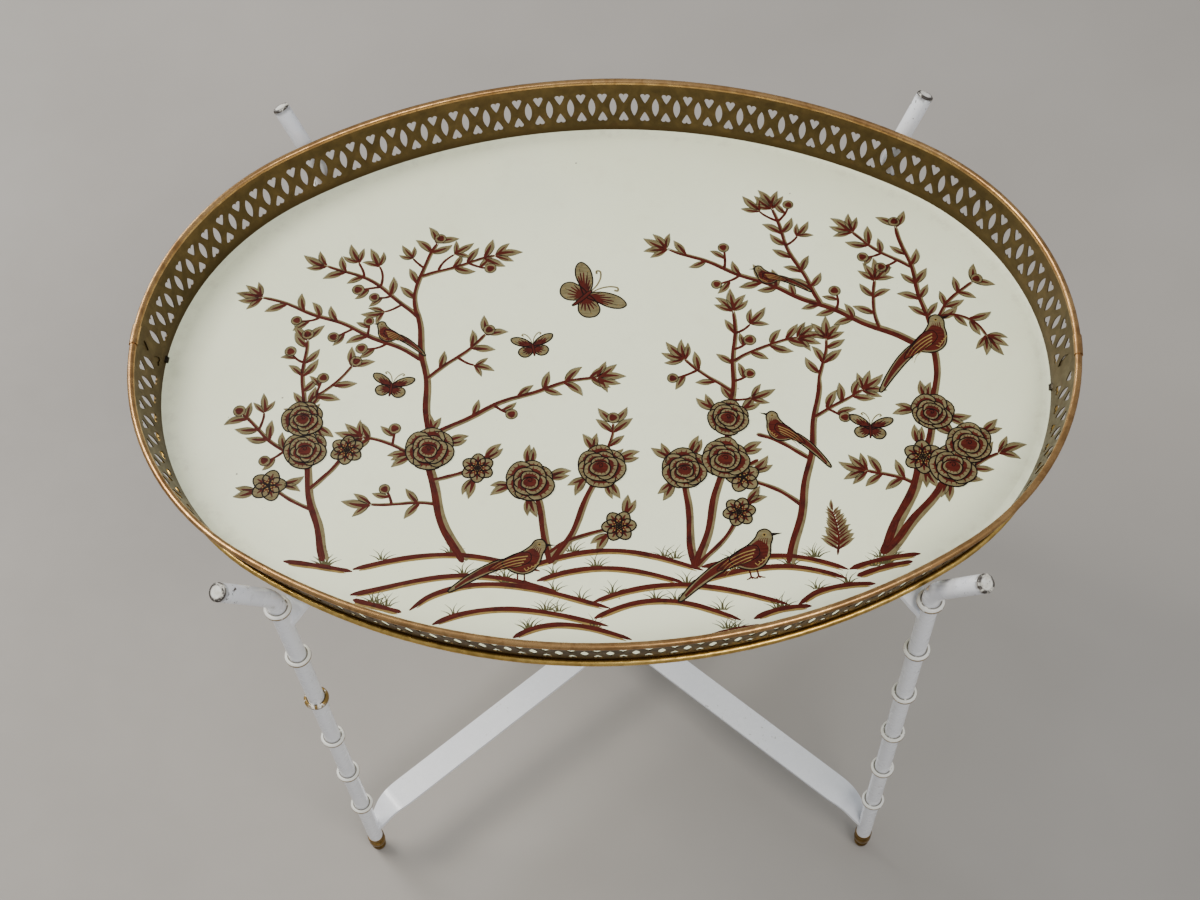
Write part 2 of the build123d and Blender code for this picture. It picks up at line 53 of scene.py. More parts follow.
class Mat:
    """A small helper for node materials; every texture is laid in object space."""

    def __init__(self, name, **sockets):
        self.m = bpy.data.materials.new(name)
        self.m.use_nodes = True
        self.nt = self.m.node_tree
        self.b = self.nt.nodes["Principled BSDF"]
        self.co = self.add("ShaderNodeTexCoord").outputs["Object"]
        for k, v in sockets.items():
            self.b.inputs[k.replace("_", " ")].default_value = v

    def add(self, kind, **props):
        n = self.nt.nodes.new(kind)
        for k, v in props.items():
            setattr(n, k, v)
        return n

    def link(self, a, b):
        if hasattr(a, "is_output") and a.is_output:
            self.nt.links.new(a, b)
        else:
            b.default_value = a
        return b

    def noise(self, scale, detail=3.0, rough=0.55, vec=None, dist=0.0, out="Fac"):
        n = self.add("ShaderNodeTexNoise")
        self.link(vec if vec is not None else self.co, n.inputs["Vector"])
        n.inputs["Scale"].default_value = scale
        n.inputs["Detail"].default_value = detail
        n.inputs["Roughness"].default_value = rough
        n.inputs["Distortion"].default_value = dist
        return n.outputs[out]

    def voronoi(self, scale, vec=None, feature="F1", rand=1.0, out="Distance"):
        n = self.add("ShaderNodeTexVoronoi", feature=feature)
        self.link(vec if vec is not None else self.co, n.inputs["Vector"])
        n.inputs["Scale"].default_value = scale
        n.inputs["Randomness"].default_value = rand
        return n.outputs[out]

    def stretch(self, x, y, z, vec=None):
        n = self.add("ShaderNodeMapping")
        self.link(vec if vec is not None else self.co, n.inputs["Vector"])
        n.inputs["Scale"].default_value = (x, y, z)
        return n.outputs["Vector"]

    def math(self, op, a, b=0.0, c=0.0, clamp=False):
        n = self.add("ShaderNodeMath", operation=op, use_clamp=clamp)
        self.link(a, n.inputs[0])
        self.link(b, n.inputs[1])
        if len(n.inputs) > 2:
            self.link(c, n.inputs[2])
        return n.outputs[0]

    def band(self, v, lo, hi, a=0.0, b=1.0):
        n = self.add("ShaderNodeMapRange", interpolation_type="SMOOTHSTEP")
        self.link(v, n.inputs["Value"])
        n.inputs["From Min"].default_value = lo
        n.inputs["From Max"].default_value = hi
        n.inputs["To Min"].default_value = a
        n.inputs["To Max"].default_value = b
        return n.outputs["Result"]

    def ramp(self, v, stops):
        n = self.add("ShaderNodeValToRGB")
        e = n.color_ramp.elements
        while len(e) < len(stops):
            e.new(0.5)
        for el, (p, c) in zip(e, stops):
            el.position = p
            el.color = c
        self.link(v, n.inputs["Fac"])
        return n.outputs["Color"]

    def mix(self, f, a, b, mode="MIX"):
        n = self.add("ShaderNodeMix", data_type="RGBA", blend_type=mode)
        self.link(f, n.inputs[0])
        self.link(a, n.inputs[6])
        self.link(b, n.inputs[7])
        return n.outputs[2]

    def sep(self, vec=None):
        n = self.add("ShaderNodeSeparateXYZ")
        self.link(vec if vec is not None else self.co, n.inputs[0])
        return n.outputs

    def dist(self, p):
        """Distance in millimetres from a fixed point of the object."""
        n = self.add("ShaderNodeVectorMath", operation="DISTANCE")
        self.link(self.co, n.inputs[0])
        n.inputs[1].default_value = tuple(c * MM for c in p)
        return self.math("MULTIPLY", n.outputs["Value"], 1000.0)

    def bump(self, h, strength=0.3, mm=0.1, normal=None):
        n = self.add("ShaderNodeBump")
        n.inputs["Strength"].default_value = strength
        n.inputs["Distance"].default_value = mm * MM
        self.link(h, n.inputs["Height"])
        if normal is not None:
            self.link(normal, n.inputs["Normal"])
        return n.outputs["Normal"]

    def out(self, color=None, rough=None, metal=None, normal=None):
        if color is not None:
            self.link(color, self.b.inputs["Base Color"])
        if rough is not None:
            self.link(rough, self.b.inputs["Roughness"])
        if metal is not None:
            self.link(metal, self.b.inputs["Metallic"])
        if normal is not None:
            self.link(normal, self.b.inputs["Normal"])
        return self.m


def gallery_brass():
    m = Mat("gallery_brass", Metallic=1.0, Specular_IOR_Level=0.5)
    big = m.noise(20, 4, 0.6)
    mid = m.noise(110, 5, 0.62, dist=0.4)
    fine = m.noise(900, 3, 0.6)
    drag = m.noise(55, 4, 0.6, vec=m.stretch(1, 1, 7))
    base = m.ramp(big, [(0.28, lin(79, 65, 42)), (0.5, lin(91, 75, 48)), (0.72, lin(102, 82, 53))])
    tarn = m.ramp(mid, [(0.30, lin(66, 52, 34)), (0.52, lin(87, 71, 46)), (0.72, lin(104, 84, 55))])
    c = m.mix(0.45, base, tarn)
    c = m.mix(m.band(drag, 0.56, 0.74, 0.0, 0.40), c, lin(92, 64, 46))
    c = m.mix(m.band(m.voronoi(380), 0.08, 0.18, 0.45, 0.0), c, lin(56, 44, 30))
    # brighter where hands and cloth reach the upper edge
    z = m.math("MULTIPLY", m.sep()[2], 1000.0)
    edge = m.math("ADD", m.band(z, 524.0, 531.0), m.math("MULTIPLY", m.math("SUBTRACT", mid, 0.5), 0.8), clamp=True)
    c = m.mix(m.math("MULTIPLY", edge, 0.28), c, lin(136, 106, 68))
    # darker and mottled towards the foot of the wall
    low = m.math("MULTIPLY", m.band(z, 490.5, 496.0, 1.0, 0.0), m.band(mid, 0.3, 0.7, 0.3, 0.9))
    c = m.mix(low, c, lin(72, 56, 34))
    r = m.math("ADD", m.band(mid, 0.3, 0.75, 0.50, 0.38), m.math("MULTIPLY", m.math("SUBTRACT", fine, 0.5), 0.10))
    h = m.math("ADD", m.math("MULTIPLY", fine, 0.25), mid)
    return m.out(c, r, normal=m.bump(h, 0.16, 0.12))


def rolled_brass(name, dark, main, light, dent):
    """Rolled edge: rubbed bright with darker streaks; dent is the hammering."""
    m = Mat(name, Metallic=1.0, Specular_IOR_Level=0.5)
    big = m.noise(22, 4, 0.6)
    mid = m.noise(120, 5, 0.62, dist=0.6)
    fine = m.noise(1300, 3, 0.6)
    c = m.ramp(big, [(0.28, main), (0.72, light)])
    c = m.mix(m.band(mid, 0.36, 0.60, 0.55, 0.0), c, dark)
    c = m.mix(m.band(m.voronoi(210), 0.05, 0.12, 0.35, 0.0), c, lin(66, 48, 30))
    r = m.math("ADD", m.band(mid, 0.35, 0.7, 0.34, 0.24), m.math("MULTIPLY", m.math("SUBTRACT", fine, 0.5), 0.10))
    hammer = m.voronoi(230, vec=m.stretch(1, 1, 1.6), feature="SMOOTH_F1")
    h = m.math("ADD", m.math("MULTIPLY", hammer, dent), m.math("MULTIPLY", mid, 0.4))
    return m.out(c, r, normal=m.bump(h, 0.35, 0.35))


def foot_brass():
    m = Mat("foot_brass", Metallic=1.0, Specular_IOR_Level=0.5)
    mid = m.noise(190, 4, 0.6)
    z = m.math("MULTIPLY", m.sep()[2], 1000.0)
    turn = m.math("SINE", m.math("MULTIPLY", z, 11.0))
    c = m.ramp(mid, [(0.3, lin(82, 60, 28)), (0.55, lin(134, 104, 52)), (0.75, lin(168, 134, 72))])
    # painted contact shade: darker in the lowest few millimetres, where the foot meets the floor
    c = m.mix(m.band(z, 0.6, 3.5, 0.65, 0.0), c, lin(48, 36, 20))
    r = m.band(mid, 0.3, 0.7, 0.42, 0.26)
    return m.out(c, r, normal=m.bump(m.math("ADD", m.math("MULTIPLY", turn, 0.25), mid), 0.25, 0.10))


def cream_enamel():
    m = Mat("cream_enamel", Metallic=0.0, Specular_IOR_Level=0.5, Coat_Weight=0.10, Coat_Roughness=0.28)
    big = m.noise(7, 4, 0.55)
    mid = m.noise(60, 4, 0.6)
    fine = m.noise(1500, 2, 0.5)
    c = m.ramp(big, [(0.3, lin(240, 244, 204)), (0.6, lin(246, 249, 213)), (0.8, lin(240, 244, 211))])
    c = m.mix(m.band(mid, 0.52, 0.75, 0.0, 0.14), c, lin(218, 212, 176))
    xyz = m.sep()
    ex = m.math("DIVIDE", m.math("MULTIPLY", xyz[0], 1000.0), 306.0)
    ey = m.math("DIVIDE", m.math("MULTIPLY", xyz[1], 1000.0), 216.0)
    rad = m.math("SQRT", m.math("ADD", m.math("MULTIPLY", ex, ex), m.math("MULTIPLY", ey, ey)))
    # painted shade: a mottled greyer band along the rim of the floor
    rim = m.math("MULTIPLY", m.band(rad, 0.86, 1.0), m.band(mid, 0.2, 0.8, 0.7, 1.0))
    c = m.mix(m.math("MULTIPLY", rim, 0.12), c, lin(216, 220, 204))
    # darker in a thin mottled line where the floor meets the wall
    wall_line_dark = m.math("MULTIPLY", m.band(rad, 0.990, 1.004), m.band(m.noise(120, 5, 0.7), 0.46, 0.64))
    c = m.mix(m.math("MULTIPLY", wall_line_dark, 0.12), c, lin(158, 148, 120))
    # pin-head specks and a few hairline scratches
    spots = m.voronoi(62)
    pick = m.band(m.voronoi(62, out="Color"), 0.72, 0.74)
    speck = m.math("MULTIPLY", m.band(spots, 0.030, 0.055, 1.0, 0.0), pick)
    c = m.mix(m.math("MULTIPLY", speck, 0.75), c, lin(96, 80, 56))
    tiny = m.math("MULTIPLY", m.band(m.voronoi(260), 0.05, 0.10, 1.0, 0.0), m.band(m.noise(24, 2), 0.52, 0.62))
    c = m.mix(m.math("MULTIPLY", tiny, 0.35), c, lin(150, 138, 108))
    rot = m.add("ShaderNodeVectorRotate", rotation_type="Z_AXIS")
    m.link(m.co, rot.inputs["Vector"])
    rot.inputs["Angle"].default_value = 0.6
    s1 = m.noise(6, 2, 0.5, vec=m.stretch(4, 220, 1, vec=rot.outputs["Vector"]))
    scr = m.math("MULTIPLY", m.band(s1, 0.80, 0.83), m.band(m.noise(12, 2), 0.5, 0.6))
    c = m.mix(m.math("MULTIPLY", scr, 0.4), c, lin(186, 180, 156))
    r = m.math("ADD", m.band(mid, 0.3, 0.7, 0.40, 0.50), m.math("MULTIPLY", scr, 0.2))
    h = m.math("ADD", m.math("MULTIPLY", fine, 0.10), m.math("ADD", mid, m.math("MULTIPLY", m.noise(18, 3), 3.0)))
    return m.out(c, r, normal=m.bump(h, 0.12, 0.10))


def on_leg(radius, angle, z):
    a = math.radians(angle)
    return (radius * math.cos(a), radius * math.sin(a), z)


def white_paint(name, tip=None, chips=1.0, dull=False):
    """Gloss white over metal, with brush sag, chips, and bare metal at a tube's end."""
    m = Mat(name, Metallic=0.0, Specular_IOR_Level=0.5, Coat_Weight=0.35, Coat_Roughness=0.12)
    big = m.noise(16, 3, 0.5)
    mid = m.noise(85, 4, 0.55)
    fine = m.noise(1100, 3, 0.6)
    c = m.ramp(big, [(0.3, lin(238, 239, 242)), (0.7, lin(246, 246, 247))])
    c = m.mix(m.band(mid, 0.54, 0.78, 0.0, 0.16), c, lin(216, 214, 208))
    # small knocks down to the dark metal
    cells = m.noise(230, 4, 0.65, dist=0.5)
    where = m.noise(15, 3, 0.6)
    chip = m.math("MULTIPLY", m.band(cells, 0.665, 0.69), m.band(where, 0.52, 0.60))
    if tip is not None:
        d = m.dist(tip)
        near = m.band(d, 8.0, 34.0, 1.0, 0.0)
        more = m.math("MULTIPLY", m.band(cells, 0.60, 0.625), m.math("MULTIPLY", near, m.band(where, 0.40, 0.5)))
        chip = m.math("MAXIMUM", chip, more)
        lipd = m.band(d, 5.6, 7.4, 1.0, 0.0)
        lip = m.math("MULTIPLY", lipd, m.band(cells, 0.40, 0.46))
        chip = m.math("MAXIMUM", chip, lip)
    chip = m.math("MULTIPLY", chip, chips, clamp=True)
    halo = m.band(cells, 0.60, 0.67)
    c = m.mix(m.math("MULTIPLY", halo, m.math("MULTIPLY", m.band(where, 0.50, 0.60), 0.35)), c, lin(190, 184, 168))
    c = m.mix(chip, c, lin(62, 54, 46))
    r = m.math("ADD", m.band(mid, 0.3, 0.7, 0.20 if not dull else 0.4, 0.32 if not dull else 0.55), m.math("MULTIPLY", chip, 0.35))
    h = m.math("ADD", m.math("MULTIPLY", fine, 0.06), m.math("SUBTRACT", m.math("MULTIPLY", mid, 1.0), m.math("MULTIPLY", chip, 1.6)))
    return m.out(c, r, normal=m.bump(h, 0.30, 0.16))


def plug_paint(name, centre):
    """End disc of a horn: worn cream paint, dark at its rim and where it is rubbed through."""
    m = Mat(name, Metallic=0.0, Specular_IOR_Level=0.5, Coat_Weight=0.1, Coat_Roughness=0.3)
    mid = m.noise(260, 5, 0.65, dist=0.6)
    fine = m.noise(1500, 3, 0.6)
    d = m.dist(centre)
    c = m.ramp(mid, [(0.35, lin(206, 200, 184)), (0.65, lin(232, 230, 222))])
    ring = m.math("MULTIPLY", m.band(d, 4.0, 5.2), m.band(mid, 0.36, 0.52))
    c = m.mix(ring, c, lin(52, 44, 36))
    rub = m.math("MULTIPLY", m.band(m.noise(330, 4, 0.7), 0.60, 0.66), 0.8)
    c = m.mix(rub, c, lin(70, 60, 50))
    r = m.band(mid, 0.3, 0.7, 0.35, 0.6)
    return m.out(c, r, normal=m.bump(m.math("ADD", mid, m.math("MULTIPLY", fine, 0.2)), 0.35, 0.12))


def collar_paint(leg, angle):
    """Ivory rings with a thin gilt line, a painted shade line on their underside, and dark lines where they meet the
    tube.
    """
    m = Mat("collar_paint_" + leg, Specular_IOR_Level=0.5, Coat_Weight=0.25, Coat_Roughness=0.18)
    mid = m.noise(210, 4, 0.6, dist=0.4)
    fine = m.noise(900, 3, 0.6)
    xyz = m.sep()
    z = m.math("MULTIPLY", xyz[2], 1000.0)
    cx, cy, _ = on_leg(281.3, angle, 0)
    dx = m.math("SUBTRACT", m.math("MULTIPLY", xyz[0], 1000.0), cx)
    dy = m.math("SUBTRACT", m.math("MULTIPLY", xyz[1], 1000.0), cy)
    rad = m.math("SQRT", m.math("ADD", m.math("MULTIPLY", dx, dx), m.math("MULTIPLY", dy, dy)))
    k = m.math("DIVIDE", m.math("SUBTRACT", z, 108.1 - 37.35), 74.7)
    off = m.math("SUBTRACT", m.math("MULTIPLY", m.math("FRACT", k), 74.7), 37.35)
    wob = m.math("ADD", off, m.math("MULTIPLY", m.math("SUBTRACT", m.noise(90, 3), 0.5), 1.3))
    c = m.ramp(m.noise(30, 3), [(0.3, lin(240, 237, 224)), (0.7, lin(246, 244, 236))])
    outer = m.band(rad, 8.2, 8.9)
    # gilt round the lower shoulder, thicker in places, one ring nearly all gilt
    lowg = m.math("MULTIPLY", m.math("MULTIPLY", m.band(off, 0.05, 0.25), m.band(wob, 0.75, 1.05, 1.0, 0.0)), m.band(mid, 0.34, 0.44))
    ring = m.math("FLOOR", k)
    third = m.math("COMPARE", ring, 3.0, 0.5)
    allg = m.math("MULTIPLY", third, m.band(mid, 0.36, 0.50)) if leg == "front_left" else 0.0
    gold = m.math("MAXIMUM", lowg, allg)
    c = m.mix(gold, c, lin(158, 126, 66))
    # painted shade and floor reflection as a thin dark line under the ring, and a darker line where ring and tube meet
    under = m.math("MULTIPLY", m.band(off, -0.95, -0.7), m.band(off, 0.0, 0.3, 1.0, 0.0))
    seat = m.math("MULTIPLY", m.band(rad, 7.1, 7.6, 1.0, 0.0), m.band(mid, 0.32, 0.44))
    dark = m.math("MAXIMUM", m.math("MULTIPLY", under, m.band(mid, 0.22, 0.34)), seat)
    c = m.mix(m.math("MULTIPLY", dark, 0.85), c, lin(64, 54, 38))
    chip = m.math("MULTIPLY", m.band(m.noise(300, 4, 0.65), 0.66, 0.69), outer)
    c = m.mix(chip, c, lin(78, 66, 50))
    metal = m.math("MULTIPLY", gold, 0.8)
    r = m.band(mid, 0.3, 0.7, 0.22, 0.34)
    return m.out(c, r, metal=metal, normal=m.bump(m.math("ADD", mid, m.math("MULTIPLY", fine, 0.1)), 0.3, 0.10))


def zinc_steel():
    m = Mat("zinc_steel", Metallic=1.0, Specular_IOR_Level=0.5)
    mid = m.noise(240, 4, 0.6)
    c = m.ramp(mid, [(0.3, lin(132, 130, 124)), (0.7, lin(178, 176, 170))])
    c = m.mix(m.band(m.noise(90, 4, 0.7), 0.58, 0.70, 0.0, 0.6), c, lin(118, 88, 60))
    r = m.band(mid, 0.3, 0.7, 0.45, 0.30)
    return m.out(c, r, normal=m.bump(mid, 0.25, 0.08))


def brush(name, a, b, streak, rough=0.42):
    """Hand-brushed enamel colour: pools, thin dragged streaks along the stroke."""
    m = Mat(name, Metallic=0.0, Specular_IOR_Level=0.12)
    uv = m.add("ShaderNodeUVMap", uv_map="stroke").outputs["UV"]
    drag = m.noise(1.0, 4, 0.65, vec=m.stretch(0.10, 2.6, 1, vec=uv))
    pool = m.noise(150, 4, 0.6)
    c = m.mix(m.band(drag, 0.35, 0.65), a, b)
    c = m.mix(m.band(pool, 0.50, 0.72, 0.0, 0.65), c, streak)
    r = m.band(pool, 0.3, 0.7, rough - 0.06, rough + 0.10)
    return m.out(c, r, normal=m.bump(m.math("ADD", drag, m.math("MULTIPLY", pool, 0.5)), 0.3, 0.05))


GALLERY = gallery_brass()
BEAD = rolled_brass("bead_brass", lin(112, 78, 46), lin(168, 124, 76), lin(206, 164, 108), 0.25)
BASE = rolled_brass("base_brass", lin(136, 104, 48), lin(196, 156, 78), lin(230, 192, 108), 1.5)
SOLDER = rolled_brass("solder_dark", lin(26, 22, 17), lin(40, 34, 26), lin(62, 54, 42), 0.8)
FOOT = foot_brass()
CREAM = cream_enamel()
ZINC = zinc_steel()
BAR = white_paint("white_paint_bars", chips=0.7)
LEG_MAT, PLUG_MAT, COLLAR_MAT = {}, {}, {}
for leg, ang in LEGS.items():
    t = on_leg(TIP_R, ang, TIP_Z)
    LEG_MAT[leg] = white_paint("white_paint_" + leg, tip=t)
    PLUG_MAT[leg] = plug_paint("white_paint_end_" + leg, t)
    COLLAR_MAT[leg] = collar_paint(leg, ang)


def paint_over(node, mat):
    o = nodes[node]
    o.data.materials.clear()
    o.data.materials.append(mat)
    for p in o.data.polygons:
        p.material_index = 0


for n in nodes:
    if n.startswith("gallery"):
        paint_over(n, GALLERY)
    elif n.startswith("top_bead"):
        paint_over(n, BEAD)
    elif n == "base_bead":
        paint_over(n, BASE)
    elif n == "solder_tacks":
        paint_over(n, SOLDER)
    elif n.startswith("foot"):
        paint_over(n, FOOT)
    elif n == "tray_floor":
        paint_over(n, CREAM)
    elif n.startswith("collars"):
        paint_over(n, COLLAR_MAT[n[8:]])
    elif "pivot" in n:
        paint_over(n, ZINC)
    elif "bar" in n:
        paint_over(n, BAR)
    elif n.startswith("leg_"):
        paint_over(n, LEG_MAT[n[4:]])
    elif n.startswith("horn_plug_"):
        paint_over(n, PLUG_MAT[n[10:]])

# --------------------------------------------------------------------------
# the painted garden: thin brush strokes lying on the tray floor
# --------------------------------------------------------------------------

RED = brush("brush_red_brown", lin(62, 18, 12), lin(86, 31, 20), lin(42, 12, 8))
OLIVE = brush("brush_olive_gold", lin(104, 94, 63), lin(126, 114, 80), lin(84, 71, 45))
GOLD = brush("brush_gold", lin(130, 106, 56), lin(150, 126, 72), lin(104, 82, 42))
BLACK = brush("brush_outline", lin(14, 7, 4), lin(24, 11, 7), lin(8, 4, 3), 0.42)
GREEN = brush("brush_grey_green", lin(66, 64, 38), lin(88, 84, 52), lin(48, 46, 26))

rng = random.Random(1967)


class Layer:
    """One colour of the painting: many thin closed strokes in one mesh."""

    def __init__(self, name, height, mat):
        self.name, self.height, self.mat = name, height, mat
        self.v, self.f, self.uv, self.k = [], [], [], 0

    def _z(self, lift=0.0):
        self.k += 1
        return FLOOR_TOP + self.height + lift + (self.k * 7 % 31) * 0.0004

    def strip(self, left, right, along, closed=False, lift=0.0):
        zt, zb, n, b = self._z(lift), FLOOR_TOP - 0.04, len(left), len(self.v)
        for l, r, u in zip(left, right, along):
            self.v += [(l[0], l[1], zt), (r[0], r[1], zt), (r[0], r[1], zb), (l[0], l[1], zb)]
            self.uv += [(u, -1.0), (u, 1.0), (u, 1.0), (u, -1.0)]
        for i in range(n if closed else n - 1):
            a, c = b + 4 * i, b + 4 * ((i + 1) % n)
            for j in range(4):
                k = (j + 1) % 4
                self.f.append((a + j, a + k, c + k, c + j))
        if not closed:
            e = b + 4 * (n - 1)
            self.f.append((b, b + 3, b + 2, b + 1))
            self.f.append((e, e + 1, e + 2, e + 3))

    def blob(self, pts, lift=0.0):
        area = sum(p[0] * q[1] - q[0] * p[1] for p, q in zip(pts, pts[1:] + pts[:1]))
        if area < 0:
            pts = pts[::-1]
        zt, zb, n, b = self._z(lift), FLOOR_TOP - 0.04, len(pts), len(self.v)
        cx, cy = sum(p[0] for p in pts) / n, sum(p[1] for p in pts) / n
        self.v += [(cx, cy, zt), (cx, cy, zb)]
        self.uv += [(cx, 0.0), (cx, 0.0)]
        for x, y in pts:
            self.v += [(x, y, zt), (x, y, zb)]
            self.uv += [(x, (y - cy) * 0.3), (x, (y - cy) * 0.3)]
        for i in range(n):
            t0, b0 = b + 2 + 2 * i, b + 3 + 2 * i
            t1, b1 = b + 2 + 2 * ((i + 1) % n), b + 3 + 2 * ((i + 1) % n)
            self.f += [(b, t0, t1), (b + 1, b1, b0), (t0, b0, b1, t1)]

    def build(self):
        me = bpy.data.meshes.new(self.name)
        me.from_pydata([(x * MM, y * MM, z * MM) for x, y, z in self.v], [], self.f)
        uv = me.uv_layers.new(name="stroke")
        for lo in me.loops:
            uv.data[lo.index].uv = self.uv[lo.vertex_index]
        me.materials.append(self.mat)
        me.update()
        o = bpy.data.objects.new(self.name, me)
        bpy.context.scene.collection.objects.link(o)
        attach(o, "tray")
        return o


HILL_GOLD = Layer("painted_hills_gold", 0.04, GOLD)
GRASS = Layer("painted_grass", 0.055, GREEN)
STEM_GOLD = Layer("painted_stems_gold", 0.07, OLIVE)
LEAF_BASE = Layer("painted_leaves_olive", 0.085, OLIVE)
STEM_RED = Layer("painted_stems_red", 0.10, RED)
LEAF_RED = Layer("painted_leaves_red", 0.12, RED)
BLOOM_BASE = Layer("painted_blooms_olive", 0.14, OLIVE)
BLOOM_RED = Layer("painted_blooms_red", 0.16, RED)
BLOOM_LINE = Layer("painted_gold_lines", 0.18, GOLD)
INK = Layer("painted_outlines", 0.20, BLACK)
LAYERS = [HILL_GOLD, GRASS, STEM_GOLD, LEAF_BASE, STEM_RED, LEAF_RED, BLOOM_BASE, BLOOM_RED, BLOOM_LINE, INK]


def smooth(pts, per=5, closed=False):
    """Catmull-Rom through the points."""
    n = len(pts)
    if n < 3 and not closed:
        (x0, y0), (x1, y1) = pts[0], pts[-1]
        return [(x0 + (x1 - x0) * i / per, y0 + (y1 - y0) * i / per) for i in range(per + 1)]
    out = []
    for i in range(n if closed else n - 1):
        if closed:
            p0, p1, p2, p3 = (pts[(i + k) % n] for k in (-1, 0, 1, 2))
        else:
            p1, p2 = pts[i], pts[i + 1]
            p0 = pts[i - 1] if i else (2 * p1[0] - p2[0], 2 * p1[1] - p2[1])
            p3 = pts[i + 2] if i + 2 < n else (2 * p2[0] - p1[0], 2 * p2[1] - p1[1])
        for k in range(per):
            t = k / per
            out.append(tuple(0.5 * (2 * b + (c - a) * t + (2 * a - 5 * b + 4 * c - d) * t * t
                                    + (3 * b - a - 3 * c + d) * t ** 3)
                             for a, b, c, d in zip(p0, p1, p2, p3)))
    if not closed:
        out.append(tuple(pts[-1]))
    return out


def ribbon(layer, pts, width, shift=0.0, closed=False, lift=0.0):
    """A brush stroke along pts; width(t) in mm, shifted sideways by shift(t)."""
    n = len(pts)
    left, right, along, s = [], [], [], 0.0
    for i, p in enumerate(pts):
        a = pts[(i - 1) % n] if closed or i else p
        b = pts[(i + 1) % n] if closed or i < n - 1 else p
        dx, dy = b[0] - a[0], b[1] - a[1]
        d = math.hypot(dx, dy) or 1.0
        nx, ny = -dy / d, dx / d
        t = i / (n if closed else n - 1)
        w = max(width(t) if callable(width) else width, 0.12) / 2
        o = shift(t) if callable(shift) else shift
        if i:
            s += math.hypot(p[0] - pts[i - 1][0], p[1] - pts[i - 1][1])
        cx, cy = p[0] + nx * o, p[1] + ny * o
        left.append((cx + nx * w, cy + ny * w))
        right.append((cx - nx * w, cy - ny * w))
        along.append(s)
    layer.strip(left, right, along, closed, lift)


def taper(w0, w1, a=0.04, b=0.12, wob=0.06):
    ph = rng.uniform(0, 6.28)

    def f(t):
        k = min(1.0, (t + 0.004) / a) if a else 1.0
        e = min(1.0, (1.004 - t) / b) if b else 1.0
        return (w0 + (w1 - w0) * t) * math.sqrt(max(k, 0) * max(e, 0)) * (1 + wob * math.sin(ph + 17 * t))
    return f


def disc(layer, p, r, n=14, wob=0.05, sx=1.0, rot=0.0, lift=0.0):
    ph = rng.uniform(0, 6.28)
    pts = []
    for i in range(n):
        a = 2 * math.pi * i / n
        q = r * (1 + wob * math.sin(3 * a + ph))
        x, y = q * math.cos(a) * sx, q * math.sin(a)
        pts.append((p[0] + x * math.cos(rot) - y * math.sin(rot), p[1] + x * math.sin(rot) + y * math.cos(rot)))
    layer.blob(pts, lift)
    return pts


def turn(p, a):
    return (p[0] * math.cos(a) - p[1] * math.sin(a), p[0] * math.sin(a) + p[1] * math.cos(a))


taken = []          # (x, y, radius) of everything painted so far


def clear(x, y, skip=0):
    best = 99.0
    for a, b, r in (taken[:-skip] if skip else taken):
        d = math.hypot(x - a, y - b) - r
        if d < best:
            best = d
    return best


def room(x, y, k=1.0):
    """How far inside the painted field a point lies; under 0 is outside it."""
    return (1.0 - math.sqrt((x / (282 * k)) ** 2 + ((y + 4) / (196 * k)) ** 2)) * 200.0


def leaf(p, ang, size=13.0, fat=0.40, mark=True):
    size *= 1.22
    bend = rng.uniform(-0.35, 0.35)
    n = 9
    pts = []
    for i in range(n):
        t = i / (n - 1)
        a = ang + bend * (t - 0.5)
        pts.append((p[0] + size * t * math.cos(a), p[1] + size * t * math.sin(a)))
    w = size * fat

    def prof(t):
        return w * (math.sin(math.pi * min(1, t * 1.02)) ** 0.85) * (1.10 - 0.35 * t)
    ribbon(LEAF_BASE, pts, prof)
    m = pts[:7]
    side = rng.choice((-1, 1))
    ribbon(LEAF_RED, m, lambda t: w * 0.46 * math.sqrt(max(0.0, 1 - t)) * min(1, 0.25 + t * 4), shift=lambda t: side * w * 0.14 * (1 - t))
    if mark:
        ribbon(INK, pts[1:], lambda t: 0.45 * (1 - 0.7 * t), shift=lambda t: -side * w * 0.46 * math.sin(math.pi * (0.1 + 0.88 * t)))
    taken.append((pts[5][0], pts[5][1], size * 0.25))


def bud(p, r=4.4):
    disc(BLOOM_BASE, p, r, 16)
    disc(BLOOM_RED, (p[0] + rng.uniform(-.3, .3), p[1] + rng.uniform(-.3, .3)), r * 0.62, 12, 0.12)
    pts = [(p[0] + r * 0.97 * math.cos(a), p[1] + r * 0.97 * math.sin(a)) for a in [i * math.pi / 9 for i in range(18)]]
    ribbon(INK, pts, 0.42, closed=True)
    taken.append((p[0], p[1], r))


def fan(p, ang, n=5, size=11.5, spread=2.3):
    for i in range(n):
        a = ang + spread * (i / (n - 1) - 0.5)
        leaf(p, a, size * (1.12 - 0.30 * abs(2 * i / (n - 1) - 1)), 0.36)


